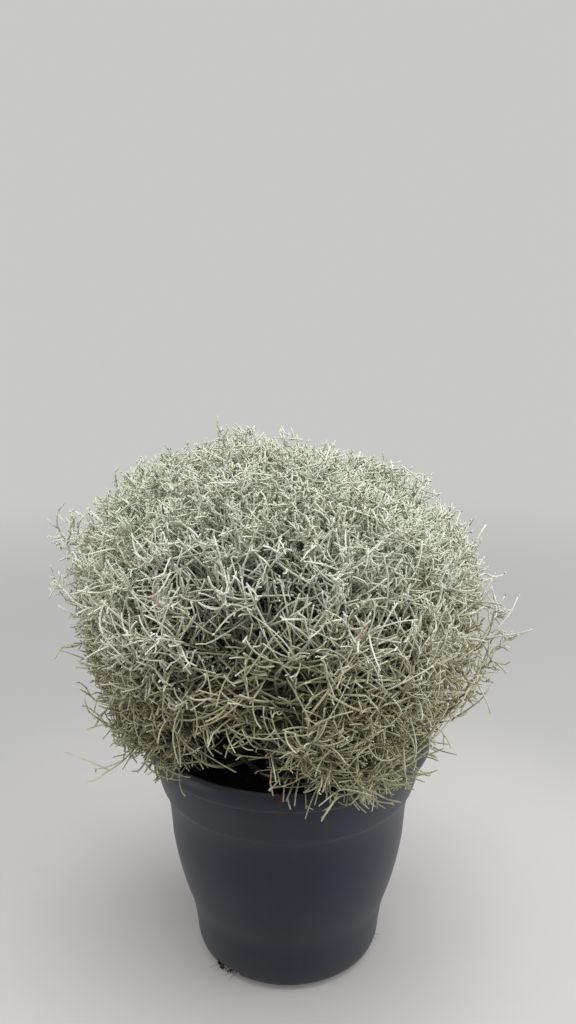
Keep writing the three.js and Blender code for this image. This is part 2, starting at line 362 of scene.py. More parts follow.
@dataclass(frozen=True)
class Felt:
    """The white felt that covers the twigs, over grey-green tips and brown old wood."""

    white: Colour = (0.68, 0.665, 0.615)
    cream: Colour = (0.61, 0.54, 0.42)
    leaf: Colour = (0.49, 0.53, 0.375)
    olive: Colour = (0.38, 0.375, 0.215)
    hay: Colour = (0.52, 0.44, 0.28)
    mist: Colour = (0.45, 0.50, 0.38)
    # Wood and moss are the inside and the second layer low down; dusk and sage are their copies made paler
    # by painted light high up. Wood is the bare and worn old wood as well.
    wood: Colour = (0.070, 0.054, 0.026)
    sage: Colour = (0.53, 0.575, 0.45)
    dusk: Colour = (0.47, 0.52, 0.41)
    moss: Colour = (0.33, 0.32, 0.165)
    straw: Colour = (0.30, 0.235, 0.13)
    fuzz: Colour = (0.80, 0.80, 0.76)
    roughness: float = 0.88
    rough_swing: float = 0.2
    sheen: float = 0.12
    sheen_roughness: float = 0.6
    gloss: float = 0.2
    fuzz_strength: float = 0.5
    fuzz_height: float = 0.0004
    cloud: Cloud = Cloud(14.0)
    drift: Cloud = Cloud(9.0, 1.0)
    patch: Cloud = Cloud(420.0)
    fibre: Cloud = Cloud(2600.0, rough=0.6)
    # The middle and the size, across and upright, of the place in front that little light reaches, its
    # edge, how far back it goes, and how much it deepens and dulls what is in it: painted shade.
    gloom: Span = (-0.042, 0.338)
    gloom_size: Span = (0.085, 0.080)
    gloom_edge: Step = Step(1.2, 0.6)
    gloom_back: Step = Step(-0.02, -0.10)
    gloom_deepens: float = 0.35
    gloom_dulls: float = 0.4
    # The heights of the green top, of the upper half where painted light makes the inside paler, and of
    # the olive skirt, in metres, how far the clouds shift the first and the last, and the depth inside
    # which the skirt begins higher up.
    top: Step = Step(0.34, 0.50)
    lit: Step = Step(0.30, 0.44)
    skirt: Step = Step(0.43, 0.28)
    cloud_shift: float = 0.10
    skirt_depth: float = 0.92
    skirt_shift: float = 0.3
    skirt_share: float = 0.95
    skirt_swing: float = 0.25
    # Green over the fresh tips, more at the top than low down, and in drifts.
    tips: Step = Step(0.45, 1.0)
    tips_swing: float = 0.7
    tips_share: float = 0.8
    low_share: float = 0.25
    drifts: Step = Step(0.46, 0.62, 0.3)
    # The strands whose own tone makes them cream, hay or mist.
    cream_tones: Step = Step(0.55, 0.95, 0.4)
    hay_tones: Step = Step(0.66, 0.98, 0.7)
    mist_tones: Step = Step(0.36, 0.05, 0.8)
    # By depth, the second layer and the inside, darker the deeper a strand lies, partly older, less felted
    # wood and partly painted shade, and how far a strand's tone shifts them.
    second: Step = Step(0.97, 0.80, 0.6)
    second_swing: float = 0.16
    inside: Step = Step(0.84, 0.62, 0.9)
    inside_swing: float = 0.12
    # Where old wood is bare, by age and depth, and how much less of it shows high up in painted light.
    bare_age: Step = Step(0.78, 0.90)
    bare_depth: Step = Step(1.0, 0.84)
    bare_lit: float = 0.8
    dead_share: float = 0.85
    # Worn patches, more on old wood than on the tips, and fibres that show less on the skirt.
    worn: Step = Step(0.55, 0.75, 0.25)
    worn_tips: float = 0.4
    fuzzy: Step = Step(0.45, 0.8)
    fuzz_share: float = 0.2
    fuzz_skirt: float = 0.17

    def material(self) -> bpy.types.Material:
        """Builds the felt.

        Returns:
            The material.
        """
        s = Shader("felted_twig")
        depth, age, tone, dead = (s.trait(trait) for trait in Trait)
        across, back, height = s.axes()
        # Painted shade: in the gloom in front, strands look as if they lay deeper, and darker.
        gloom = s.rise(s.oval(across, height, self.gloom, self.gloom_size), self.gloom_edge)
        gloom = gloom * s.rise(back, self.gloom_back)
        depth = 1.0 - (1.0 - depth) * (1.0 + gloom * self.gloom_deepens)
        level = height + s.noise(self.cloud).swing(self.cloud_shift)
        skirt = s.rise(level + (depth - self.skirt_depth) * self.skirt_shift, self.skirt)
        share = (skirt * self.skirt_share + tone.swing(self.skirt_swing)).most(0.0)
        skin = s.blend(share, self._upper(s, age, tone, level), self._lower(s, tone))
        # Painted light: higher up the deeper strands turn paler, sage and dusk over moss and wood.
        lit = s.rise(height, self.lit) * (1.0 - gloom * self.gloom_dulls)
        # Darker the deeper a strand lies: partly older, less felted wood, partly painted shade.
        second = s.rise(depth + tone.swing(self.second_swing), self.second)
        skin = s.blend(second, skin, s.blend(lit, self.moss, self.sage))
        inside = s.rise(depth + tone.swing(self.inside_swing), self.inside)
        skin = s.blend(inside, skin, s.blend(lit, self.wood, self.dusk))
        bare = s.rise(age, self.bare_age) * s.rise(depth, self.bare_depth)
        skin = s.blend(bare * (1.0 - lit * self.bare_lit), skin, self.wood)
        skin = s.blend(dead * self.dead_share, skin, self.straw)
        worn = s.rise(s.noise(self.patch), self.worn) * (self.worn_tips + age)
        skin = s.blend(worn, skin, self.wood)
        fibre = s.noise(self.fibre)
        fuzz = s.rise(fibre, self.fuzzy) * (self.fuzz_share - skirt * self.fuzz_skirt)
        sockets = {
            "Base Color": s.blend(fuzz, skin, self.fuzz),
            "Roughness": self.roughness + fibre.swing(self.rough_swing),
            "Normal": s.bump(fibre, self.fuzz_strength, self.fuzz_height),
            "Sheen Weight": self.sheen,
            "Sheen Roughness": self.sheen_roughness,
            "Specular IOR Level": self.gloss,
        }
        return s.feed(sockets)

    def _upper(self, s: Shader, age: Tint, tone: Tint, level: Tint) -> Tint:
        """The dome's upper side: white and cream, greener towards the tips and the top.

        Args:
            s: The shader.
            age: The age, from 0 at a tip to 1 at a root.
            tone: Each strand's own tone.
            level: The height, shifted by clouds.

        Returns:
            The colour.
        """
        green = s.rise(1.0 - age + tone.swing(self.tips_swing), self.tips)
        green = green * (s.rise(level, self.top) * (1.0 - self.low_share) + self.low_share)
        green = green * self.tips_share + s.rise(s.noise(self.drift), self.drifts)
        skin = s.blend(s.rise(tone, self.cream_tones), self.white, self.cream)
        return s.blend(green, skin, self.leaf)

    def _lower(self, s: Shader, tone: Tint) -> Tint:
        """The skirt: olive, with strands of hay and mist."""
        skin = s.blend(s.rise(tone, self.hay_tones), self.olive, self.hay)
        return s.blend(s.rise(tone, self.mist_tones), skin, self.mist)


@dataclass(frozen=True)
class Mark:
    """A small brown mark on the pot: its middle, its half width and its half height, in metres."""

    middle: Place
    width: float
    height: float


@dataclass(frozen=True)
class Plastic:
    """Moulded anthracite plastic with a satin skin and a painted reflection where it turns away, dusty low
    down and on its lip.
    """

    skin: Colour = (0.0145, 0.0190, 0.0280)
    # The edge colour is a painted reflection, paler where the skin turns away.
    edge: Colour = (0.060, 0.066, 0.078)
    dust: Colour = (0.16, 0.15, 0.135)
    rust: Colour = (0.060, 0.021, 0.012)
    roughness: float = 0.42
    rough_swing: float = 0.14
    rough_dust: float = 0.35
    gloss: float = 0.25
    grain_strength: float = 0.10
    grain_height: float = 0.0003
    cloud: Cloud = Cloud(9.0, 3.0, 0.55)
    grain: Cloud = Cloud(900.0)
    speck: Cloud = Cloud(330.0, rough=0.6)
    streak: Cloud = Cloud(40.0)
    streak_stretch: Place = (1.0, 1.0, 0.12)
    ragged: Cloud = Cloud(700.0, 3.0, 0.6)
    # Where dust lies: at the foot and on the lip by height in metres, in clouds, streaks and specks.
    foot: Step = Step(0.045, 0.0, 0.30)
    foot_swing: float = 0.05
    lip: Step = Step(0.2302, 0.2317)
    lip_dust: Span = (0.25, 0.3)
    clouded: Step = Step(0.5, 0.75, 0.10)
    streaked: Step = Step(0.55, 0.8, 0.10)
    specked: Step = Step(0.70, 0.76, 0.10)
    dust_share: float = 0.4
    # A painted reflection: the skin paler where it turns away.
    reflection_blend: float = 0.35
    reflection_share: float = 0.8
    marks: tuple[Mark, ...] = (
        Mark((-0.0065, -0.1320, 0.2270), 0.0022, 0.0060),
        Mark((-0.0080, -0.1285, 0.2115), 0.0018, 0.0036),
        Mark((0.0925, -0.0800, 0.1930), 0.0016, 0.0075),
        Mark((-0.0300, -0.1250, 0.2120), 0.0014, 0.0014),
    )
    mark_near: Step = Step(0.010, 0.006)
    mark_edge: Step = Step(1.1, 0.7)
    mark_ragged: float = 1.6
    mark_share: float = 0.9

    def material(self) -> bpy.types.Material:
        """Builds the plastic.

        Returns:
            The material.
        """
        s = Shader("anthracite_plastic")
        cloud = s.noise(self.cloud)
        film = self._film(s, cloud)
        # Painted reflection: the base colour turns paler towards the edges that face away.
        facing = s.node("ShaderNodeLayerWeight", None, {"Blend": self.reflection_blend}, "Facing")
        skin = s.blend(facing**2.0 * self.reflection_share, self.skin, self.edge)
        skin = s.blend(film * self.dust_share, skin, self.dust)
        sockets = {
            "Base Color": self._marked(s, skin),
            "Roughness": self.roughness + cloud.swing(self.rough_swing) + film * self.rough_dust,
            "Normal": s.bump(s.noise(self.grain), self.grain_strength, self.grain_height),
            "Specular IOR Level": self.gloss,
        }
        return s.feed(sockets)

    def _film(self, s: Shader, cloud: Tint) -> Tint:
        """How much dust lies on each point.

        Args:
            s: The shader.
            cloud: The clouds that break it up.

        Returns:
            The share of dust.
        """
        _, _, height = s.axes()
        sockets = {"Vector": s.place(), "Scale": self.streak_stretch}
        stretched = s.node("ShaderNodeMapping", None, sockets)
        film = s.rise(height + cloud.swing(self.foot_swing), self.foot) + s.rise(cloud, self.clouded)
        film = film + s.rise(s.noise(self.streak, stretched), self.streaked)
        film = film + s.rise(height, self.lip) * (self.lip_dust[0] + cloud * self.lip_dust[1])
        return film + s.rise(s.noise(self.speck), self.specked)

    def _marked(self, s: Shader, skin: Tint) -> Tint:
        """The skin with its brown marks.

        Args:
            s: The shader.
            skin: The colour under them.

        Returns:
            The marked colour.
        """
        across, back, height = s.axes()
        ragged = s.noise(self.ragged).swing(self.mark_ragged)
        for mark in self.marks:
            x, y, z = mark.middle
            off = s.oval(across, height, (x, z), (mark.width, mark.height))
            near = s.rise(abs(back - y), self.mark_near)
            share = s.rise(off + ragged, self.mark_edge) * near * self.mark_share
            skin = s.blend(share, skin, self.rust)
        return skin


@dataclass(frozen=True)
class Peat:
    """Moist potting soil: nearly black, with paler crumbs and fibres, and red-brown rootlets."""

    dark: Colour = (0.006, 0.005, 0.004)
    crumb: Colour = (0.030, 0.020, 0.013)
    fibre: Colour = (0.10, 0.065, 0.036)
    root: Colour = (0.16, 0.065, 0.035)
    roughness: float = 0.8
    rough_swing: float = 0.4
    crumb_strength: float = 0.8
    crumb_height: float = 0.002
    grain: Cloud = Cloud(320.0, 4.0, 0.65)
    fleck: Cloud = Cloud(700.0)
    crumbs: Step = Step(0.45, 0.75)
    flecks: Step = Step(0.68, 0.76, 0.7)
    root_share: float = 0.6

    def material(self) -> bpy.types.Material:
        """Builds the soil.

        Returns:
            The material.
        """
        s = Shader("peat")
        grain = s.noise(self.grain)
        skin = s.blend(s.rise(grain, self.crumbs), self.dark, self.crumb)
        skin = s.blend(s.rise(s.noise(self.fleck), self.flecks), skin, self.fibre)
        roots = s.trait(Trait.AGE) * (self.root_share + grain * self.root_share)
        sockets = {
            "Base Color": s.blend(roots, skin, self.root),
            "Roughness": self.roughness + grain.swing(self.rough_swing),
            "Normal": s.bump(grain, self.crumb_strength, self.crumb_height),
        }
        return s.feed(sockets)


# Strands


@dataclass
class Strands:
    """Round tapering strands with equally many points each.

    Attributes:
        points: Places along each strand, root first.
        radii: The radius at each of them.
        owner: The leafy stem that each strand belongs to.
        tone: A chance number from 0 to 1 for each strand's shade.
        age: 1 for old wood down to 0 for a fresh tip, at each point.
        dead: How brown each strand is.
        reach: How far past the outline each strand may go.
    """

    points: Array
    radii: Array
    owner: Array
    tone: Array
    age: Array
    dead: Array
    reach: Array

    def kept(self, keep: Array) -> "Strands":
        """The strands that a mask or a list of numbers names."""
        return Strands(*(getattr(self, each.name)[keep] for each in fields(self)))

    def in_runs(self, runs: int) -> "Strands":
        """The same strands with fewer points.

        Args:
            runs: Straight runs to a strand, which divide the present ones evenly.

        Returns:
            The thinned strands.
        """
        step = (self.points.shape[1] - 1) // runs
        thinned = {name: getattr(self, name)[:, ::step] for name in ("points", "radii", "age")}
        return replace(self, **thinned)

    def bends(self) -> Array:
        """How far each strand turns in all, in radians.

        Returns:
            An angle a strand.
        """
        ways = unit(np.diff(self.points, axis=1))
        between = np.clip(dot(ways[:, 1:], ways[:, :-1])[..., 0], -1.0, 1.0)
        return np.arccos(between).sum(-1)

    def at(self, which: Array, along: Array) -> tuple[Array, Array]:
        """Places on the strands.

        Args:
            which: The strand that each place is on.
            along: How far along it, from 0 to 1.

        Returns:
            Each place, and the strand's direction there.
        """
        last = self.points.shape[1] - 1
        spot = np.clip(along, 0.0, 1.0) * last
        low = np.minimum(spot.astype(int), last - 1)
        start, end = self.points[which, low], self.points[which, low + 1]
        return mix(start, end, (spot - low)[:, None]), unit(end - start)


@dataclass(frozen=True)
class Dome:
    """The map of the bush, which the part's source uses too: its outline and its stems' ways.

    Attributes:
        centre: The middle of its widest level.
        radius: How far out it reaches there.
        rise: How far up it reaches from there.
        drop: How far down it reaches from there.
        power: How square its outline is, where 2 is round.
        swell: How far the outline swells and shrinks round the dome, as a share of it.
        swells: How many swells there are in a turn.
        first_swell: How far into a swell the first turn starts, in radians.
        lowest: The level of the lowest heading.
        crown: How far out the lowest stem's foot stands.
        fountain: How far up the lowest stem's way is pulled at its middle.
        soil: The height of the soil.
    """

    centre: Place = (-5.0, 0.0, 360.0)
    radius: float = 197.0
    rise: float = 138.0
    drop: float = 190.0
    power: float = 2.4
    swell: float = 0.02
    swells: float = 3.0
    first_swell: float = 0.6
    lowest: float = math.cos(math.radians(127.0))
    crown: float = 62.0
    fountain: float = 80.0
    soil: float = 200.0

    def headings(self, count: int, total: int | None = None) -> Array:
        """Headings spread evenly over the dome, from its top down.

        Args:
            count: How many are wanted.
            total: How many reach from the top down to the skirt, if not the same.

        Returns:
            Unit vectors.
        """
        index = np.arange(count)
        level = 1.0 - (index + 0.5) / (total or count) * (1.0 - self.lowest)
        return round_axis(np.sqrt(1.0 - level**2), index * GOLDEN_ANGLE, level)

    def cells(self, stems: int) -> Array:
        """The stems' own headings, and the spare ones past the skirt that close their cells."""
        count = math.floor(2.0 / ((1.0 - self.lowest) / stems))
        return self.headings(count, stems)

    def outline(self, to: Array) -> Array:
        """How far out the dome reaches.

        Args:
            to: Unit vectors from the dome's centre.

        Returns:
            The distance along each, as a column.
        """
        flat = np.hypot(to[..., 0], to[..., 1]) / self.radius
        upright = np.abs(to[..., 2]) / np.where(to[..., 2] > 0, self.rise, self.drop)
        turn = np.arctan2(to[..., 1], to[..., 0])
        wave = np.sin(self.swells * turn + self.first_swell)
        swell = 1.0 + self.swell * (1.0 - to[..., 2] ** 2) * wave
        return (swell / (flat**self.power + upright**self.power) ** (1.0 / self.power))[..., None]

    def heading_of(self, points: Array) -> Array:
        """The heading from the dome's centre to each point."""
        return unit(points - np.array(self.centre))

    def depth(self, points: Array) -> Array:
        """How far out each point lies, as a column: 0 at the centre and 1 on the outline."""
        off = points - np.array(self.centre)
        return np.linalg.norm(off, axis=-1, keepdims=True) / self.outline(unit(off))

    def place(self, to: Array, along: Array | float) -> Array:
        """Places on the way that a stem takes.

        Args:
            to: The stem's heading.
            along: How far along its way, from the soil at 0 to the outline at 1.

        Returns:
            The places.
        """
        down = (1.0 - to[..., 2:]) / (1.0 - self.lowest)
        flat = np.maximum(np.hypot(to[..., :1], to[..., 1:2]), LEAST)
        foot = to * self.crown * np.sqrt(np.maximum(down, 0.0)) / flat
        foot[..., 2] = self.soil
        edge = np.array(self.centre) + to * self.outline(to)
        bend = mix(foot, edge, 0.5)
        bend[..., 2:] += self.fountain * down**3
        return mix(mix(foot, bend, along), mix(bend, edge, along), along)


@dataclass(frozen=True)
class Habit:
    """How one generation of strands leaves the one before it.

    Zones are values for the dome's top, its sides and its skirt, with a slow change between them.

    Attributes:
        per: How many leave each strand.
        keep: The share of them that grows.
        along: Where the first and the last of them leave it.
        spread: The least and the most angle that they leave it at, in degrees.
        shortest: The least length.
        longest: The most length.
        root: The radius at the root.
        tip: The radius at the tip.
        pull: How far a strand has turned towards the light at its tip, from 0 to 1.
        curl: How far a strand curls to a side of its own, in radians.
        wander: How much it strays on its way, in radians.
        age: The age at the root and at the tip.
        steps: Straight runs to a strand as it grows, before it is thinned.
        out: How far outwards the light lies.
        up: How far upwards the light lies.
        facing: How much more of them leave outwards than inwards.
        flat: How much they keep to the dome's surface when they leave.
        wisps: The share of them that strays past the outline with its own twigs.
        fringe: The share that grows besides, near the outline and past it.
        shallow: The least depth that they grow at, from 0 at the dome's centre to 1 on its outline.
        crosses: Whether they grow in the pockets too.
    """

    per: int
    keep: Zones
    along: Span
    spread: Span
    shortest: Zones
    longest: Zones
    root: Zones
    tip: Zones
    pull: Zones
    curl: Zones
    wander: float
    age: Span
    steps: int = 12
    out: Zones = (0.6, 0.3, 0.3)
    up: Zones = (0.7, 0.8, 0.7)
    facing: Zones = (0.3, 0.1, 0.1)
    flat: Zones = even(0.0)
    wisps: float = 0.0
    fringe: Zones = even(0.0)
    shallow: float = 0.0
    crosses: bool = False


BRANCH = Habit(
    per=14,
    keep=(1.0, 0.78, 0.7),
    along=(0.34, 1.0),
    spread=(48.0, 95.0),
    shortest=(30.0, 45.0, 60.0),
    longest=(55.0, 100.0, 120.0),
    root=(1.0, 1.08, 1.0),
    tip=(0.76, 0.74, 0.66),
    pull=(0.78, 0.5, 0.5),
    curl=(0.9, 1.1, 1.4),
    wander=0.06,
    age=(0.6, 0.35),
    facing=(0.4, 0.1, 0.1),
    flat=(0.0, 0.75, 0.6),
    wisps=0.09,
    crosses=True,
)
TWIG = Habit(
    per=13,
    keep=(0.93, 0.67, 0.57),
    along=(0.14, 1.0),
    spread=(50.0, 92.0),
    shortest=(12.0, 18.0, 26.0),
    longest=(31.0, 56.0, 72.0),
    root=(0.91, 0.84, 0.75),
    tip=(0.76, 0.62, 0.52),
    pull=(0.55, 0.34, 0.3),
    curl=(1.15, 1.18, 1.38),
    wander=0.05,
    age=(0.35, 0.15),
    up=(0.8, 0.8, 0.7),
    flat=(0.0, 0.65, 0.55),
    shallow=0.5,
)
TWIGLET = Habit(
    per=2,
    keep=(0.8, 0.5, 0.3),
    along=(0.2, 0.9),
    spread=(40.0, 90.0),
    shortest=(4.5, 6.0, 7.0),
    longest=(12.0, 18.0, 22.0),
    root=(0.74, 0.70, 0.63),
    tip=(0.68, 0.62, 0.54),
    pull=(0.36, 0.26, 0.2),
    curl=(1.1, 0.9, 1.1),
    wander=0.11,
    age=(0.2, 0.08),
    steps=4,
    up=(0.7, 0.8, 0.6),
    flat=(0.0, 0.4, 0.4),
    shallow=0.72,
)
BUD = Habit(
    per=4,
    keep=(0.72, 0.0, -0.5),
    along=(0.3, 1.0),
    spread=(28.0, 70.0),
    shortest=(2.4, 2.5, 2.5),
    longest=(4.6, 5.0, 6.0),
    root=even(0.0),
    tip=(0.98, 0.95, 0.85),
    pull=even(0.1),
    curl=even(0.0),
    wander=0.1,
    age=(0.1, 0.0),
    steps=1,
    out=even(0.6),
    up=(0.6, 0.6, 0.3),
    facing=even(0.15),
    fringe=(0.3, 0.25, 0.0),
    shallow=0.86,
)
INNER = Habit(
    per=10,
    keep=(0.9, 1.0, 1.0),
    along=(0.02, 0.55),
    spread=(45.0, 90.0),
    shortest=even(35.0),
    longest=(80.0, 85.0, 90.0),
    root=even(0.95),
    tip=even(0.7),
    pull=even(0.34),
    curl=(0.8, 1.0, 1.2),
    wander=0.16,
    age=(1.0, 0.85),
    steps=4,
    out=(0.4, 0.3, 0.2),
    up=(0.4, 0.5, 0.5),
    facing=even(0.1),
    flat=(0.0, 0.3, 0.3),
)
INNER_TWIG = Habit(
    per=3,
    keep=even(0.9),
    along=(0.2, 0.95),
    spread=(40.0, 90.0),
    shortest=even(15.0),
    longest=(35.0, 40.0, 40.0),
    root=even(0.72),
    tip=even(0.6),
    pull=even(0.2),
    curl=(0.6, 0.8, 0.8),
    wander=0.11,
    age=(0.95, 0.8),
    steps=2,
    out=even(0.3),
    up=even(0.3),
    facing=even(0.0),
)


@dataclass(frozen=True)
class StemHabit:
    """How the bare stems rise from the soil.

    It gives the points to a stem, the share of its way that it goes alone, how deep its foot is
    sunk, its sway, and its radius and age at the foot and at the top.
    """

    points: int = 13
    share: float = 0.62
    sunk: float = 15.0
    sway: float = 1.6
    radii: Span = (2.8, 1.4)
    age: Span = (1.0, 0.8)


@dataclass(frozen=True)
class LimbHabit:
    """How the limbs leave the stems and reach the outline.

    A level is the height of a limb's heading, from -1 for straight down to 1 for straight up.

    Attributes:
        steps: Straight runs to a limb.
        along: Where on a stem's way the first and the last of them leave it.
        reach: How far out they go, as a share of the outline, by level.
        uneven: How far under and over that they may end.
        beyond: How far past a limb that strays its own twigs go.
        least_full: The least fullness at a limb's tip, and all the way but its first third.
        pulls: How far a limb keeps its heading at its root and at its tip, as shares of its length.
        lift: How far upwards it sets out, by level.
        out: How far outwards it ends, by level.
        up: How far upwards it ends, by level.
        hangs: The reach over which, and the level under which, it hangs, and how far up it then ends.
        sway: How far it strays on its way.
        radii: The radius at the root and at the tip.
        slim: The share of the radius that a limb past the outline has.
        age: The age at the root and at the tip.
    """

    steps: int = 12
    along: Span = (0.22, 0.44)
    reach: Line = ((-0.6, -0.3, 0.2), (0.97, 0.90, 0.83))
    uneven: Span = (-0.06, 0.05)
    beyond: float = 0.08
    least_full: Span = (0.35, 0.3)
    pulls: Span = (0.45, 0.42)
    lift: Line = ((-0.66, -0.2, 0.3, 1.0), (0.25, 0.35, 0.5, 0.2))
    out: Line = ((-0.66, -0.3, 0.3, 0.7), (1.0, 0.4, 0.3, 0.7))
    up: Line = ((-0.66, -0.45, -0.2, 0.2, 0.6, 1.0), (0.3, 0.6, 1.0, 1.0, 0.4, 0.1))
    hangs: tuple[float, float, float] = (0.95, -0.55, -0.7)
    sway: float = 3.0
    radii: Span = (1.7, 0.85)
    slim: float = 0.75
    age: Span = (0.95, 0.5)


@dataclass(frozen=True)
class Dent:
    """A broad dent in the outline, or a swelling where its depth is negative.

    Attributes:
        towards: The way to it from the dome's centre.
        width: How wide it is, as a share of the dome's size.
        depth: How deep it is, as a share of the outline.
    """

    towards: Place
    width: float
    depth: float

    def dip(self, to: Array) -> Array:
        """How deep it is along each heading, as a column."""
        off = np.linalg.norm(to - unit(np.array(self.towards)), axis=-1, keepdims=True)
        return self.depth * np.exp(-((off / self.width) ** 2))


@dataclass(frozen=True)
class Hollow:
    """A place where the bush is thin: an egg-shaped space, and the share of growth it lacks."""

    centre: Place
    radii: Place
    thinning: float
    steepness: float = 3.5

    def fullness(self, points: Array) -> Array:
        """The share of its growth that each place keeps."""
        off = np.linalg.norm((points - np.array(self.centre)) / np.array(self.radii), axis=-1)
        inside = np.clip(self.steepness - self.steepness * off, 0.0, 1.0)
        return 1.0 - self.thinning * inside


def fullness(points: Array, hollows: tuple[Hollow, ...]) -> Array:
    """The share of its growth that each place keeps among some hollows.

    Args:
        points: The places.
        hollows: The hollows.

    Returns:
        A share a place.
    """
    return math.prod((hollow.fullness(points) for hollow in hollows), start=np.ones(len(points)))


@dataclass
class Growth:
    """Grows the bush's strands, generation by generation, from one seed."""

    dome: Dome = field(default_factory=Dome)
    stem_habit: StemHabit = field(default_factory=StemHabit)
    limb_habit: LimbHabit = field(default_factory=LimbHabit)
    stems: int = 34
    limbs: int = 194
    seed: int = 20
    # The lowest that strands go over the soil and the pot's lip, by how far out they are, and the
    # most that chance adds.
    over_pot: Line = ((104.0, 121.0, 137.0), (206.0, 236.0, 236.0))
    over_pot_chance: float = 5.0
    # The depth from which strands are seen, and the bend between two runs that is too small to see,
    # in degrees: on the sides, on top and inside.
    hidden_depth: float = 0.66
    kinks: tuple[float, float, float] = (11.5, 25.0, 42.0)
    top_zone: float = 0.4
    # Where the front begins, and how much smaller that bend is at the front and larger behind.
    front: float = -25.0
    roundness: Span = (0.68, 1.25)
    # How far past the outline loose sprigs stand, how far inside it most strands end, and the mean
    # that they differ by, all as shares of it.
    stray: Span = (0.05, 0.16)
    trim: float = 0.075
    ragged: float = 0.024
    # A strand past its limit keeps a least share of its length in each round, and is cut in the first
    # round alone if it roots this near the limit.
    least_length: float = 0.25
    trim_rounds: int = 3
    rooted_out: float = 0.02
    # Strands that stand on one whose reach is over the first have the second share of growth.
    sparse: Span = (1.03, 0.6)
    # The depth from which the fringe grows.
    fringe_depth: float = 0.97
    # The last strand on each parent goes on nearly straight.
    leader_spread: float = 0.4
    short_bias: float = 1.2
    radius_chance: Span = (0.88, 1.14)
    pull_chance: Span = (0.7, 1.15)
    curl_chance: Span = (0.5, 1.3)
    tone_from_parent: float = 0.35
    # The share of strands that are dead, by the level of their tips.
    dead: Line = ((-0.7, 0.0, 0.6), (0.10, 0.04, 0.01))
    # The corners of the box that the bush keeps to.
    fence: tuple[Place, Place] = ((-218.0, -212.0, 221.0), (226.0, 214.0, 528.0))
    # The zone by level, and the open place at the front, where strands are long: the way to it, its
    # width and the share of the zone that is left away from it.
    zone: Line = ((-0.5, -0.14, 0.1, 0.55), (2.0, 1.0, 1.0, 0.0))
    opening: Place = (0.05, -1.0, -0.35)
    opening_width: float = 0.85
    opening_least: float = 0.45
    # Limbs that stand out of the dome or hang over the rim: turn round it in degrees, level and reach.
    stragglers: tuple[tuple[float, float, float], ...] = (
        (-3.0, -0.12, 1.12), (-6.0, -0.30, 1.20), (-12.0, -0.20, 1.16), (178.0, 0.30, 1.07),
        (184.0, 0.36, 1.11), (2.0, 0.62, 1.10), (-66.0, -0.70, 1.12), (-57.0, -0.72, 1.12),
        (186.0, -0.50, 1.09), (158.0, 0.98, 1.08), (90.0, -0.20, 1.08), (62.0, 0.35, 1.07),
        (-62.0, -0.62, 1.06), (-79.0, -0.69, 1.12), (-70.0, -0.71, 1.14), (-61.0, -0.72, 1.13),
        (-52.0, -0.70, 1.12), (40.0, -0.68, 1.07), (66.0, -0.66, 1.07), (96.0, -0.68, 1.07),
        (122.0, -0.66, 1.07), (146.0, -0.68, 1.07), (8.0, -0.69, 1.03), (-18.0, -0.68, 1.04),
        (22.0, -0.70, 1.03), (166.0, -0.69, 1.03), (184.0, -0.70, 1.03), (203.0, -0.69, 1.03),
        (112.0, -0.6, 1.0), (98.0, -0.6, 1.0),
    )
    hollows: tuple[Hollow, ...] = (
        Hollow((-42.0, -114.0, 218.0), (52.0, 80.0, 32.0), 0.93),
        Hollow((-60.0, -148.0, 204.0), (54.0, 44.0, 30.0), 0.75),
        Hollow((-44.0, -150.0, 252.0), (25.0, 74.0, 44.0), 0.8),
        Hollow((-150.0, -30.0, 285.0), (60.0, 120.0, 60.0), 0.15),
        Hollow((140.0, -30.0, 285.0), (60.0, 120.0, 60.0), 0.15),
    )
    # Places where branches cross with few twigs between them, so the bush's dark inside shows.
    pockets: tuple[Hollow, ...] = (
        Hollow((3.0, -180.0, 400.0), (34.0, 60.0, 26.0), 0.8),
        Hollow((-29.0, -183.0, 378.0), (34.0, 60.0, 28.0), 0.8),
        Hollow((-71.0, -150.0, 432.0), (30.0, 50.0, 24.0), 0.6),
        Hollow((-68.0, -170.0, 346.0), (38.0, 60.0, 34.0), 0.4),
        Hollow((-110.0, -140.0, 390.0), (26.0, 50.0, 30.0), 0.6),
        Hollow((81.0, -160.0, 384.0), (26.0, 50.0, 22.0), 0.7),
        Hollow((10.0, -180.0, 335.0), (40.0, 60.0, 30.0), 0.7),
        Hollow((60.0, -170.0, 335.0), (26.0, 50.0, 26.0), 0.6),
    )
    dents: tuple[Dent, ...] = (
        Dent((0.55, 0.0, 0.85), 0.55, 0.12),
        Dent((0.85, -0.2, 0.4), 0.4, 0.08),
        Dent((-0.80, 0.0, 0.55), 0.4, -0.05),
        Dent((-1.0, -0.4, -0.85), 0.45, 0.03),
        Dent((1.0, -0.1, -0.85), 0.5, 0.22),
        Dent((0.0, 0.0, 1.0), 0.4, -0.02),
        Dent((-0.3, 0.1, 1.0), 0.2, -0.04),
        Dent((0.0, -1.0, 0.35), 0.35, 0.02),
        Dent((0.4, -0.9, 0.1), 0.3, -0.03),
        Dent((-0.5, -0.85, 0.2), 0.3, -0.02),
        Dent((0.0, 1.0, 0.1), 0.5, 0.03),
        Dent((0.7, 0.7, -0.1), 0.3, -0.03),
    )

    def __post_init__(self) -> None:
        """Seeds the chance numbers and lays out the cells."""
        self.chance = np.random.default_rng(self.seed)
        self.cells = self.dome.cells(self.stems)

    def generations(self) -> dict[str, Strands]:
        """Grows the whole bush.

        Returns:
            The strands of each generation by its name.
        """
        grown = {"stems": self.bare_stems(), "limbs": self.grow_limbs()}
        grown["branches"] = self.sprout(grown["limbs"], BRANCH)
        grown["twigs"] = self.sprout(grown["branches"], TWIG)
        grown["twiglets"] = self.sprout(grown["twigs"], TWIGLET)
        grown["buds"] = self.sprout(grown["twigs"], BUD)
        grown["inner"] = self.sprout(grown["limbs"], INNER)
        grown["inner_twigs"] = self.sprout(grown["inner"], INNER_TWIG)
        return grown

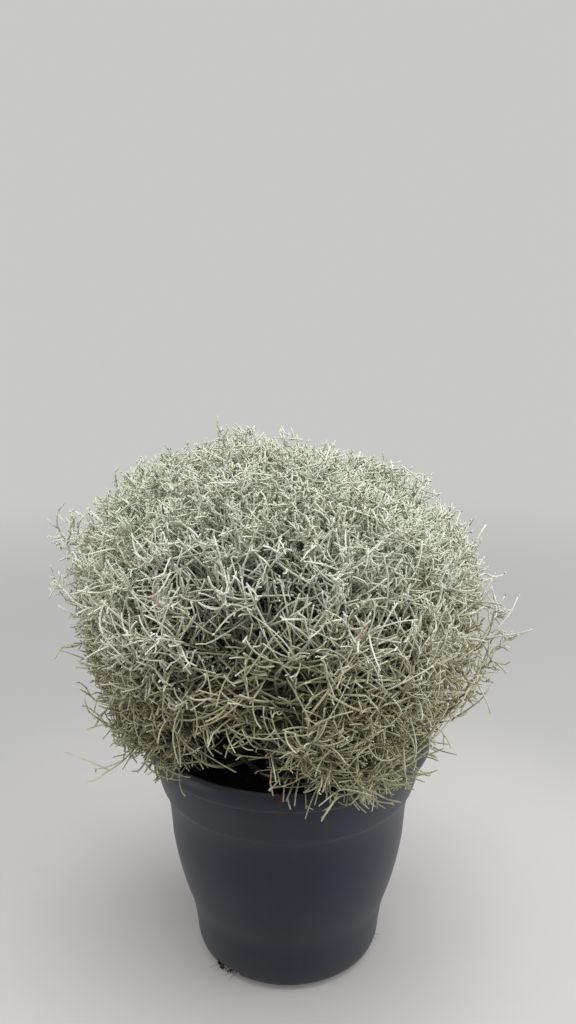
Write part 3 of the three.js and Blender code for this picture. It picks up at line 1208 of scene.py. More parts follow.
    def bare_stems(self) -> Strands:
        """The bare stems, from inside their holes in the soil.

        Returns:
            One strand a stem.
        """
        habit = self.stem_habit
        size = (self.stems, habit.points, 3)
        to = np.broadcast_to(self.cells[: self.stems, None], size).copy()
        points = self.dome.place(to, np.linspace(0.0, habit.share, habit.points)[None, :, None])
        points += self._sway(self.stems, habit.points, habit.sway)
        below = points[:, :1] - UPRIGHT * habit.sunk
        points = np.concatenate([below, points], 1)
        share = np.linspace(0.0, 1.0, points.shape[1])
        radii = np.broadcast_to(mix(*habit.radii, share), points.shape[:2])
        return self._strands(points, radii, np.arange(self.stems), habit.age, 1.0)

    def grow_limbs(self) -> Strands:
        """The limbs, from the bare stems out to the dome's outline.

        Returns:
            One strand a limb.
        """
        habit = self.limb_habit
        to, reach = self._limb_aims()
        owner = np.linalg.norm(to[:, None] - self.cells[None], axis=-1).argmin(1)
        centre = np.array(self.dome.centre)
        ends = centre + to * self.dome.outline(to) * reach[:, None]
        mine = (owner < self.stems) & (fullness(ends, self.hollows) > habit.least_full[0])
        to, reach, owner = to[mine], reach[mine], owner[mine]
        along = self.chance.uniform(*habit.along, (len(to), 1))
        root = self.dome.place(self.cells[owner].copy(), along)
        tip = centre + to * self.dome.outline(to) * self._lumps(centre + to) * reach[:, None]
        points = self._limb_curves(root, tip, *self._limb_ends(to, reach))
        points = self._clear_of_pot(self._fenced(points))
        stays = self._clearest(points[:, habit.steps // 3 :]) > habit.least_full[1]
        points, owner, reach = points[stays], owner[stays], reach[stays]
        radii = mix(*habit.radii, np.linspace(0.0, 1.0, habit.steps + 1))
        radii = radii * np.where(reach > 1.0, habit.slim, 1.0)[:, None]
        return self._strands(points, radii, owner, habit.age, np.maximum(reach + habit.beyond, 1.0))

    def _limb_aims(self) -> tuple[Array, Array]:
        """Where the limbs go.

        Returns:
            Their headings, and their reach as a share of the outline.
        """
        habit = self.limb_habit
        turn, level, reach = (np.array(values) for values in zip(*self.stragglers, strict=True))
        extra = round_axis(np.sqrt(1.0 - level**2), np.radians(turn), level)
        to = self.dome.headings(self.limbs)
        usual = read(habit.reach, to[:, 2]) + self.chance.uniform(*habit.uneven, len(to))
        return np.concatenate([to, extra]), np.concatenate([usual, reach - habit.beyond])

    def _limb_ends(self, to: Array, reach: Array) -> tuple[Array, Array]:
        """Which ways a limb points at its root and at its tip.

        Args:
            to: The limbs' headings.
            reach: How far out they go.

        Returns:
            Unit vectors: outwards at the root, and up along the dome's sides at the tip, or down
            over the pot's rim where a limb hangs.
        """
        habit, level = self.limb_habit, to[:, 2]
        start = unit(to + UPRIGHT * read(habit.lift, level)[:, None])
        far, low, down = habit.hangs
        up = np.where((reach > far) & (level < low), down, read(habit.up, level))
        return start, unit(to * read(habit.out, level)[:, None] + UPRIGHT * up[:, None])

    def _limb_curves(self, root: Array, tip: Array, start: Array, end: Array) -> Array:
        """Smooth curves with a slow sway.

        Args:
            root: Where each begins.
            tip: Where it ends.
            start: Which way it sets out.
            end: Which way it ends.

        Returns:
            The curves' points.
        """
        habit = self.limb_habit
        size = np.linalg.norm(tip - root, axis=-1, keepdims=True)
        early, late = root + habit.pulls[0] * size * start, tip - habit.pulls[1] * size * end
        t = np.linspace(0.0, 1.0, habit.steps + 1)[None, :, None]
        points = root[:, None] * (1 - t) ** 3 + early[:, None] * 3 * t * (1 - t) ** 2
        points = points + late[:, None] * 3 * t**2 * (1 - t) + tip[:, None] * t**3
        return points + self._sway(len(root), habit.steps + 1, habit.sway)

    def _sway(self, count: int, points: int, size: float) -> Array:
        """Slow bends to lay over straight ways.

        Args:
            count: How many ways there are.
            points: Points to a way.
            size: How far a way strays.

        Returns:
            What to add to the points, which is nothing at the ends.
        """
        t = np.linspace(0.0, 1.0, points)[None, :, None]
        bends = 0.0
        for waves in (1, 2, 3):
            away = self.chance.normal(0.0, size / waves, (count, 1, 3))
            bends = bends + away * np.sin(math.pi * waves * t)
        return bends

    def _clear_of_pot(self, points: Array) -> Array:
        """Lifts what would run into the soil, the pot's wall or its lip.

        Args:
            points: The points of strands.

        Returns:
            The points, clear of the pot.
        """
        out = np.hypot(points[..., 0], points[..., 1])
        floor = read(self.over_pot, out) + self.chance.uniform(0.0, self.over_pot_chance, out.shape)
        height = points[..., 2]
        over = np.where(out < self.over_pot[0][-1], np.maximum(height, floor), height)
        return np.concatenate([points[..., :2], over[..., None]], -1)

    def _strands(
        self, points: Array, radii: Array, owner: Array, age: Span, reach: Array | float
    ) -> Strands:
        """Puts strands together.

        Args:
            points: Their points.
            radii: The radius at each point.
            owner: The leafy stem that each belongs to.
            age: The age at the root and at the tip.
            reach: How far out their twigs may go.

        Returns:
            The strands, with a shade each.
        """
        count, steps = points.shape[:2]
        ages = np.broadcast_to(np.linspace(*age, steps), (count, steps))
        tone = self.chance.random(count)
        level = self.dome.heading_of(points[:, -1])[:, 2]
        dead = (self.chance.random(count) < read(self.dead, level)) * 1.0
        return Strands(points, radii, owner, tone, ages, dead, np.broadcast_to(reach, count))

    def sprout(self, parents: Strands, habit: Habit) -> Strands:
        """Grows the next generation.

        Args:
            parents: The strands that it leaves.
            habit: How it leaves them.

        Returns:
            The new strands.
        """
        total = len(parents.points)
        which = np.repeat(np.arange(total), habit.per)
        slot = np.tile(np.arange(habit.per), total)
        first = np.repeat(self.chance.uniform(0.0, 2 * math.pi, total), habit.per)
        last = slot == habit.per - 1
        spot = np.where(last, 1.0, (slot + self.chance.random(len(slot))) / habit.per)
        start, ahead = parents.at(which, mix(*habit.along, spot))
        zone = self._zone(start)
        roll = (first + slot * GOLDEN_ANGLE)[:, None]
        grows = self.chance.random(len(slot)) < self._odds(start, zone[:, 0], parents.reach[which], habit)
        grown = (which, last, start, ahead, zone, roll)
        which, last, start, ahead, zone, roll = (each[grows] for each in grown)
        count = len(which)
        outward = self.dome.heading_of(start)
        side = self._side(ahead, roll, outward, zone, habit)
        spread = np.radians(self.chance.uniform(*habit.spread, (count, 1)))
        spread = np.where(last[:, None], spread * self.leader_spread, spread)
        heading = unit(turned(ahead, side, spread))
        least, most = by_zone(habit.shortest, zone), by_zone(habit.longest, zone)
        length = mix(least, most, self.chance.random((count, 1)) ** self.short_bias)
        points = self._bend(start, heading, length, outward, zone, habit)
        strays = self.chance.random(count) < habit.wisps
        reach = parents.reach[which] + strays * self.chance.uniform(*self.stray, count)
        limit = reach[:, None] * self._lumps(start) - self.trim
        limit = limit + self.chance.exponential(self.ragged, (count, 1))
        points = self._clear_of_pot(self._fenced(self._trimmed(points, limit)))
        points[:, 0] = start
        stays = self.chance.random(count) < self._clearest(points)
        which, points, zone, reach = which[stays], points[stays], zone[stays], reach[stays]
        along = np.linspace(0.0, 1.0, habit.steps + 1)
        radii = mix(by_zone(habit.root, zone), by_zone(habit.tip, zone), along)
        radii = radii * self.chance.uniform(*self.radius_chance, (len(which), 1))
        strands = self._strands(points, radii, parents.owner[which], habit.age, reach)
        strands.tone = mix(strands.tone, parents.tone[which], self.tone_from_parent)
        return strands

    def _odds(self, start: Array, zone: Array, reach: Array, habit: Habit) -> Array:
        """How likely each strand is to grow.

        Args:
            start: Where it begins.
            zone: The zone there.
            reach: How far out its parent's twigs may go.
            habit: How its generation grows.

        Returns:
            A share for each, which can be over 1 or under 0.
        """
        share = by_zone(habit.keep, zone) * fullness(start, self.hollows)
        if not habit.crosses:
            share = share * fullness(start, self.pockets)
        far, sparse = self.sparse
        share = share * np.where(reach > far, sparse, 1.0)
        depth = self.dome.depth(start)[:, 0]
        share = share + by_zone(habit.fringe, zone) * (depth > self.fringe_depth)
        return share * (depth > habit.shallow)

    @staticmethod
    def _side(ahead: Array, roll: Array, outward: Array, zone: Array, habit: Habit) -> Array:
        """The side of its parent that each strand leaves.

        Args:
            ahead: Which way the parent goes there.
            roll: The turn round the parent, in radians.
            outward: The way out of the dome there.
            zone: The zone there.
            habit: How much the strands keep to the dome's surface and face outwards.

        Returns:
            Unit vectors square to the parents.
        """
        side = turned(*square_to(ahead), roll)
        side = side - outward * dot(side, outward) * by_zone(habit.flat, zone)
        side = unit(side + outward * by_zone(habit.facing, zone))
        return unit(side - ahead * dot(side, ahead))

    def runs(self, strands: Strands, choices: tuple[int, ...]) -> Array:
        """How many straight runs each strand needs for its bends to look round.

        Args:
            strands: The strands.
            choices: The numbers that there are to choose from, from the least.

        Returns:
            A number for each.
        """
        middle = strands.points[:, strands.points.shape[1] // 2]
        outer = self.dome.depth(middle)[:, 0] > self.hidden_depth
        side, top, inside = self.kinks
        seen = np.where(self._zone(middle)[:, 0] > self.top_zone, side, top)
        sharp = np.radians(np.where(outer, seen, inside))
        sharp = sharp * np.where(middle[:, 1] < self.front, *self.roundness)
        return np.array(choices)[np.searchsorted(choices[:-1], strands.bends() / sharp)]

    def _lumps(self, points: Array) -> Array:
        """How the outline swells and dips from place to place.

        Args:
            points: The places.

        Returns:
            A column of factors near 1.
        """
        to = self.dome.heading_of(points)
        lumps = np.ones((len(points), 1))
        for dent in self.dents:
            lumps = lumps - dent.dip(to)
        return lumps

    def _zone(self, points: Array) -> Array:
        """0 for places at the dome's top, 1 on its sides and 2 on its skirt, as a column.

        Args:
            points: The places.

        Returns:
            The zones, which are nearer the top's away from the opening.
        """
        to = self.dome.heading_of(points)
        off = np.linalg.norm(to - unit(np.array(self.opening)), axis=-1) / self.opening_width
        share = mix(self.opening_least, 1.0, np.exp(-(off**4)))
        return (read(self.zone, to[:, 2]) * share)[:, None]

    def _clearest(self, points: Array) -> Array:
        """The least fullness that each strand meets on its way."""
        return fullness(points.reshape(-1, 3), self.hollows).reshape(points.shape[:2]).min(-1)

    def _trimmed(self, points: Array, limit: Array) -> Array:
        """Shortens the strands that stand out too far, and keeps their direction.

        Args:
            points: The strands' points.
            limit: How far out each may reach, as a share of the outline.

        Returns:
            The new points.
        """
        start = points[:, :1]
        root = self.dome.depth(points[:, 0])
        for _ in range(self.trim_rounds):
            tip = self.dome.depth(points[:, -1])
            share = np.clip((limit - root) / np.maximum(tip - root, LEAST), self.least_length, 1.0)
            points = start + (points - start) * np.where(tip > limit, share, 1.0)[:, None]
            limit = np.where(root > limit - self.rooted_out, tip, limit)
        return points

    def _fenced(self, points: Array) -> Array:
        """Shortens the strands that would leave the box that the bush keeps to.

        Args:
            points: The strands' points.

        Returns:
            The new points.
        """
        root = points[:, :1]
        way = points - root
        share = np.ones(len(points))
        for fence, far in zip(self.fence, (way.min(1), way.max(1)), strict=True):
            room = np.abs(np.array(fence) - root[:, 0])
            far = np.abs(far)
            each = np.where(far > room, room / np.maximum(far, LEAST), 1.0)
            share = np.minimum(share, each.min(-1))
        return root + way * share[:, None, None]

    def _bend(
        self, start: Array, heading: Array, length: Array, outward: Array, zone: Array, habit: Habit
    ) -> Array:
        """Curves that leave a place and turn to the light.

        Args:
            start: Where each begins.
            heading: Which way it sets out.
            length: How long it is.
            outward: The way out of the dome there.
            zone: 0 at the dome's top, 1 on its sides and 2 on its skirt.
            habit: How much it turns and strays.

        Returns:
            The curves' points.
        """
        light = unit(outward * by_zone(habit.out, zone) + UPRIGHT * by_zone(habit.up, zone))
        pull = by_zone(habit.pull, zone) * self.chance.uniform(*self.pull_chance, zone.shape)
        pull = 1.0 - (1.0 - pull) ** (1.0 / habit.steps)
        aside = unit(np.cross(heading, self.chance.normal(0.0, 1.0, heading.shape)))
        curl = aside * by_zone(habit.curl, zone) * self.chance.uniform(*self.curl_chance, zone.shape)
        points = [start]
        for _ in range(habit.steps):
            stray = habit.wander / math.sqrt(habit.steps) * self.chance.normal(0.0, 1.0, heading.shape)
            heading = unit(mix(heading, light, pull) + curl / habit.steps + stray)
            points.append(points[-1] + heading * length / habit.steps)
        return np.stack(points, 1)


# Meshes


@dataclass
class Skin:
    """Collects closed skins as one mesh, each on its own patch of the bake's map.

    Attributes:
        name: The piece's name.
        dome: The dome that depths are measured in.
        point: How long a tube's pointed end is, as a share of its radius.
        bud_sides: How many sides a bud has.
        bud_ring: How far up a bud is widest.
        bud_map: How high a bud's root, widest ring and tip lie on its patch, where the tip is at its top.
        map_width: How wide the bake's map is, in the units of the patches.
        map_gap: How far apart its patches lie.
    """

    name: str
    dome: Dome
    point: float = 0.9
    bud_sides: int = 3
    bud_ring: float = 0.72
    bud_map: tuple[float, float, float] = (0.1, 1.5, 2.0)
    map_width: float = 512.0
    map_gap: float = 1.0

    def __post_init__(self) -> None:
        """Starts with nothing in the mesh."""
        self.vertices: list[Array] = []
        self.traits: dict[Trait, list[Array]] = {trait: [] for trait in Trait}
        self.faces: list[Array] = []
        self.maps: list[Array] = []
        self.patches: list[tuple[int, float, float]] = []
        self.total = 0

    def tubes(self, strands: Strands, sides: int, patch: Span) -> None:
        """Adds a closed tube round each strand.

        Args:
            strands: The strands.
            sides: How many sides a tube has.
            patch: How wide and how tall a tube's patch of the bake's map is.
        """
        points, rings = strands.points, strands.points.shape[1]
        ahead = unit(np.diff(points, axis=1))
        along = unit(np.concatenate([ahead[:, :1], ahead[:, 1:] + ahead[:, :-1], ahead[:, -1:]], 1))
        across, _ = square_to(along[:, 0])
        rims = []
        for k in range(rings):
            across = unit(across - along[:, k] * dot(across, along[:, k]))
            other = np.cross(along[:, k], across)
            rim = turned(across[:, None], other[:, None], full_turn(sides)[None, :, None])
            rims.append(points[:, k : k + 1] + rim * strands.radii[:, k, None, None])
        tip = points[:, -1] + along[:, -1] * strands.radii[:, -1:] * self.point
        block = np.concatenate([*rims, tip[:, None]], 1)
        ring_of = np.append(np.repeat(np.arange(rings), sides), rings - 1)
        self._add(strands, block, ring_of, self._tube_faces(sides, rings, patch), patch)

    @staticmethod
    def _tube_faces(sides: int, rings: int, patch: Span) -> list[tuple[Array, Array]]:
        """The faces of one tube.

        Args:
            sides: How many sides it has.
            rings: How many rings of points it has, before its pointed end.
            patch: How wide and how tall its patch of the bake's map is.

        Returns:
            The squares round it, the triangles of its point and its flat root, each as corners
            and their places on the map.
        """
        side, ring = (each.ravel() for each in np.meshgrid(np.arange(sides), np.arange(rings - 1)))
        low, high, after = ring * sides, (ring + 1) * sides, (side + 1) % sides
        squares = np.stack([low + side, low + after, high + after, high + side], -1)
        square_map = np.stack([side, ring + 1, side + 1, ring + 1, side + 1, ring + 2, side, ring + 2], -1)
        side, level = np.arange(sides), np.full(sides, rings)
        top = (rings - 1) * sides
        point = np.stack([top + side, top + (side + 1) % sides, np.full(sides, rings * sides)], -1)
        point_map = np.stack([side, level, side + 1, level, side + 0.5, level + 1], -1)
        turn = full_turn(sides)[::-1]
        root_map = np.stack([sides * (0.5 + 0.5 * np.cos(turn)), 0.5 + 0.45 * np.sin(turn)], -1)
        scale = np.array([patch[0] / sides, patch[1] / (rings + 1)])
        faces = ((squares, square_map), (point, point_map), (side[::-1][None], root_map))
        return [(corners, places.reshape(*corners.shape, 2) * scale) for corners, places in faces]

    def buds(self, strands: Strands, patch: Span) -> None:
        """Adds a club-shaped bud on each strand: a point at the root, a ring near the tip.

        Args:
            strands: The buds' strands, of two points each.
            patch: How wide and how tall a bud's patch of the bake's map is.
        """
        sides, (low, wide, high) = self.bud_sides, self.bud_map
        root, tip = strands.points[:, 0], strands.points[:, 1]
        across, other = square_to(unit(tip - root))
        rim = turned(across[:, None], other[:, None], full_turn(sides)[None, :, None])
        rim = mix(root, tip, self.bud_ring)[:, None] + rim * strands.radii[:, 1, None, None]
        block = np.concatenate([root[:, None], rim, tip[:, None]], 1)
        corners, places = [], []
        for s in range(sides):
            after = (s + 1) % sides
            corners += [[0, after + 1, s + 1], [s + 1, after + 1, sides + 1]]
            places += [[[s + 0.5, low], [s + 1, wide], [s, wide]]]
            places += [[[s, wide], [s + 1, wide], [s + 0.5, high]]]
        places = np.array(places) * np.array([patch[0] / sides, patch[1] / high])
        ring_of = np.minimum(np.arange(sides + 2), 1)
        self._add(strands, block, ring_of, [(np.array(corners), places)], patch)

    def _add(
        self, strands: Strands, block: Array, ring_of: Array, faces: list[tuple[Array, Array]], patch: Span
    ) -> None:
        """Adds a block of points for each strand, with the same faces.

        Args:
            strands: The strands.
            block: The points, block by block.
            ring_of: The point of its strand that each point of a block stands round.
            faces: For each size of face, the corners within a block and their places on the map.
            patch: How wide and how tall a block's patch of the map is.
        """
        count, size = block.shape[:2]
        if not count:
            return
        traits = {
            Trait.DEPTH: self.dome.depth(block),
            Trait.AGE: strands.age[:, ring_of],
            Trait.TONE: np.repeat(strands.tone, size),
            Trait.DEAD: np.repeat(strands.dead, size),
        }
        for trait, values in traits.items():
            self.traits[trait].append(values.ravel())
        base = self.total + np.arange(count)[:, None, None] * size
        shift = np.stack([np.full(count, len(self.patches)), np.arange(count)], -1)
        for corners, places in faces:
            self.faces.append((base + corners[None]).reshape(-1, corners.shape[1]))
            spots = np.broadcast_to(places[None], (count, *places.shape))
            tag = np.broadcast_to(shift[:, None, None], (count, *places.shape))
            self.maps.append(np.concatenate([spots, tag], -1).reshape(-1, 4))
        self.vertices.append(block.reshape(-1, 3))
        self.patches.append((count, *patch))
        self.total += count * size

    def _laid_out(self) -> Array:
        """Lays the patches out in rows on the bake's map.

        Returns:
            Each corner's place, from 0 to 1.
        """
        rows, top, gap = [], 0.0, self.map_gap
        for count, width, height in self.patches:
            columns = int(self.map_width // (width + gap))
            rows.append((columns, width + gap, height + gap, top))
            top += math.ceil(count / columns) * (height + gap)
        columns, width, height, start = (np.array(values) for values in zip(*rows, strict=True))
        corners = np.concatenate(self.maps)
        kind, index = corners[:, 2].astype(int), corners[:, 3].astype(int)
        u = (index % columns[kind]) * width[kind] + corners[:, 0] + gap / 2
        v = start[kind] + (index // columns[kind]) * height[kind] + corners[:, 1] + gap / 2
        return np.stack([u / (self.map_width + gap), v / (top + gap)], -1)

    def build(self, material: bpy.types.Material) -> bpy.types.Object:
        """Makes the mesh.

        Args:
            material: Its finish.

        Returns:
            The object, in the scene.
        """
        mesh = bpy.data.meshes.new(self.name)
        vertices = np.concatenate(self.vertices) * MM
        mesh.vertices.add(len(vertices))
        mesh.vertices.foreach_set("co", vertices.astype(np.float32).ravel())
        sizes = np.concatenate([np.full(len(faces), faces.shape[1]) for faces in self.faces])
        corners = np.concatenate([faces.ravel() for faces in self.faces])
        mesh.loops.add(len(corners))
        mesh.loops.foreach_set("vertex_index", corners.astype(np.int32))
        mesh.polygons.add(len(sizes))
        starts = np.concatenate([[0], np.cumsum(sizes)[:-1]])
        mesh.polygons.foreach_set("loop_start", starts.astype(np.int32))
        mesh.polygons.foreach_set("use_smooth", np.ones(len(sizes), dtype=bool))
        layer = mesh.uv_layers.new(name=BAKE_MAP)
        layer.uv.foreach_set("vector", self._laid_out().astype(np.float32).ravel())
        for trait, values in self.traits.items():
            held = mesh.attributes.new(trait.value, "FLOAT", "POINT")
            held.data.foreach_set("value", np.concatenate(values).astype(np.float32))
        mesh.update(calc_edges=True)
        mesh.validate()
        mesh.materials.append(material)
        return placed(self.name, mesh)


def settle(piece: bpy.types.Object, slot: Slot, *nodes: str) -> None:
    """Fits a piece into the frame.

    Args:
        piece: The piece.
        slot: The material slot meant for it, which is not used.
        nodes: The nodes that it stands for.
    """
    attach(piece, BODY)
    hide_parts(*nodes)
    triangles = sum(len(face.vertices) - 2 for face in piece.data.polygons)
    log.info("%s: %d triangles", piece.name, triangles)


@dataclass(frozen=True)
class Tube:
    """How a generation is drawn: its sides, its patch on the bake's map and the runs it may have."""

    sides: int
    patch: Span
    runs: tuple[int, ...]


TUBES = {
    "stems": Tube(7, (8.0, 100.0), (13,)),
    "limbs": Tube(5, (5.0, 60.0), (6, 12)),
    "branches": Tube(4, (4.0, 40.0), (3, 4, 6, 12)),
    "twigs": Tube(3, (3.0, 18.0), (1, 2, 3, 4, 6)),
    "twiglets": Tube(3, (3.0, 9.0), (1, 2)),
    "inner": Tube(3, (3.0, 24.0), (2, 4)),
    "inner_twigs": Tube(3, (3.0, 9.0), (1, 2)),
}


@dataclass
class Bush:
    """The foliage: one piece for each leafy stem, with all its limbs, twigs and buds."""

    growth: Growth = field(default_factory=Growth)
    finish: Felt = field(default_factory=Felt)
    bud_patch: Span = (3.0, 5.0)

    def build(self) -> None:
        """Grows the strands and makes a piece for each leafy stem."""
        material = self.finish.material()
        grown = self.growth.generations()
        for name, strands in grown.items():
            log.info("%s: %d strands", name, len(strands.points))
        for stem in range(self.growth.stems):
            skin = Skin(f"leafy_stem_twigs_{stem + 1:02d}", self.growth.dome)
            for name, tube in TUBES.items():
                mine = grown[name].kept(grown[name].owner == stem)
                runs = self.growth.runs(mine, tube.runs)
                for count in tube.runs:
                    skin.tubes(mine.kept(runs == count).in_runs(count), tube.sides, tube.patch)
            skin.buds(grown["buds"].kept(grown["buds"].owner == stem), self.bud_patch)
            settle(skin.build(material), Slot.TWIGS, f"leafy_stem_{stem + 1:02d}")


Ring = list[bmesh.types.BMVert]
Profile = list[tuple[float, float]]


class Lathe:
    """Builds a closed turned shape face by face, with the bake's map."""

    # Patches on the bake's map: a clod's width, a root's width and height, and its ends' width.
    clod_patch: float = 0.004
    root_patch: Span = (0.006, 0.012)
    root_end_patch: float = 0.002
    # The least and the most that a clod's corners stand out, and how thin a root ends, as shares.
    clod_uneven: Span = (0.6, 1.3)
    root_tip: float = 0.3

    def __init__(self, sides: int, start: float = 0.0) -> None:
        """Starts an empty shape.

        Args:
            sides: Sides to a full turn.
            start: The turn of the first one, in radians.
        """
        self.shape = bmesh.new()
        self.map = self.shape.loops.layers.uv.new(BAKE_MAP)
        self.held = self.shape.verts.layers.float.new(Trait.AGE.value)
        self.turns = full_turn(sides, start)

    def points(self, places: Array) -> Ring:
        """Adds points, given in millimetres."""
        return [self.shape.verts.new(place) for place in places * MM]

    def ring(self, radius: float, height: float | Array) -> Ring:
        """Adds a ring of points, with one height or one for each."""
        return self.points(round_axis(radius, self.turns, height))

    def face(self, corners: Ring, places: list[Span]) -> None:
        """Adds a face.

        Args:
            corners: Its points.
            places: Their places on the bake's map.
        """
        made = self.shape.faces.new(corners)
        made.smooth = True
        for loop, place in zip(made.loops, places, strict=True):
            loop[self.map].uv = place

    def band(
        self, low: Ring, high: Ring, level: Span, gaps: tuple[int, ...] = (), across: Span = (0.0, 1.0)
    ) -> None:
        """Joins two rings with squares.

        Args:
            low: The ring that comes first along the outside's profile.
            high: The next one.
            level: Where the two lie on the bake's map.
            gaps: The sides that stay open.
            across: Where the band begins and ends on the map's width.
        """
        count = len(low)
        for s in (s for s in range(count) if s not in gaps):
            after = (s + 1) % count
            left, right = mix(*across, s / count), mix(*across, (s + 1) / count)
            spots = [(left, level[0]), (right, level[0]), (right, level[1]), (left, level[1])]
            self.face([low[s], low[after], high[after], high[s]], spots)

    def fill(self, outer: Ring, holes: list[Ring], corner: Span, size: float, up: bool) -> None:
        """Fills a level ring, but for the holes in it.

        Args:
            outer: The ring.
            holes: The rings of the holes.
            corner: The corner of its patch on the bake's map.
            size: How wide that patch is.
            up: Whether it faces upwards.
        """
        edges = []
        for ring in (outer, *holes):
            for pair in zip(ring, ring[1:] + ring[:1], strict=True):
                edges.append(self.shape.edges.get(pair) or self.shape.edges.new(pair))
        made = bmesh.ops.triangle_fill(self.shape, use_beauty=True, edges=edges)
        reach = max(vertex.co.xy.length for vertex in outer)
        for face in (each for each in made["geom"] if isinstance(each, bmesh.types.BMFace)):
            if (face.normal.z > 0) != up:
                face.normal_flip()
            face.smooth = True
            for loop in face.loops:
                spot = loop.vert.co.xy / reach * 0.5
                loop[self.map].uv = (corner[0] + size * (0.5 + spot.x), corner[1] + size * (0.5 + spot.y))

    def clod(self, middle: Array, size: float, chance: np.random.Generator, corner: Span) -> None:
        """Adds a small closed lump with eight sides.

        Args:
            middle: Its middle.
            size: Its mean radius.
            chance: Where its uneven shape comes from.
            corner: The corner of its patch on the bake's map.
        """
        turn = full_turn(4, chance.uniform(0, 2 * math.pi))
        ways = np.concatenate([round_axis(1.0, turn, 0.0), [UPRIGHT, -UPRIGHT]])
        points = self.points(middle + ways * chance.uniform(*self.clod_uneven, (6, 1)) * size)
        u, v = corner
        spots = [(u, v), (u + self.clod_patch, v), (u, v + self.clod_patch)]
        for s in range(4):
            near, after = points[s], points[(s + 1) % 4]
            self.face([near, after, points[4]], spots)
            self.face([points[5], after, near], spots)

    def root(self, places: Array, radius: float, corner: Span) -> None:
        """Adds a closed tapering rootlet.

        Args:
            places: The points along it.
            radius: Its radius where it starts.
            corner: The corner of its patch on the bake's map.
        """
        across, other = square_to(unit(np.gradient(places, axis=0)))
        sizes = radius * np.linspace(1.0, self.root_tip, len(places))
        around = turned(across[:, None], other[:, None], full_turn(4)[None, :, None])
        rings = [self.points(rim) for rim in places[:, None] + sizes[:, None, None] * around]
        for vertex in (vertex for ring in rings for vertex in ring):
            vertex[self.held] = 1.0
        (u, v), (width, height) = corner, self.root_patch
        levels = v + height * np.arange(len(rings)) / len(rings)
        for k in range(len(rings) - 1):
            self.band(rings[k], rings[k + 1], tuple(levels[k : k + 2]), across=(u, u + width))
        far_u, far_v = u + self.root_end_patch, v + self.root_end_patch
        spots = [(u, v), (far_u, v), (far_u, far_v), (u, far_v)]
        self.face(rings[0][::-1], spots)
        self.face(rings[-1], spots)

    def build(self, name: str, material: bpy.types.Material) -> bpy.types.Object:
        """Makes the object.

        Args:
            name: Its name.
            material: Its finish.

        Returns:
            The object, in the scene.
        """
        mesh = bpy.data.meshes.new(name)
        self.shape.to_mesh(mesh)
        self.shape.free()
        mesh.materials.append(material)
        return placed(name, mesh)


def smoothed(profile: Profile, steps: int) -> Profile:
    """A profile with a smooth curve through its points.

    Args:
        profile: The radius and the height of each point.
        steps: How many runs each gap between points becomes.

    Returns:
        The finer profile.
    """
    held = np.array([profile[0], *profile, profile[-1]])
    fine = []
    for k in range(len(profile) - 1):
        before, first, second, after = held[k : k + 4]
        for t in np.arange(steps) / steps:
            curve = 2 * first + (second - before) * t + (2 * before - 5 * first + 4 * second - after) * t**2
            curve = curve + (3 * first - before - 3 * second + after) * t**3
            fine.append(tuple(curve / 2))
    return [*fine, tuple(profile[-1])]


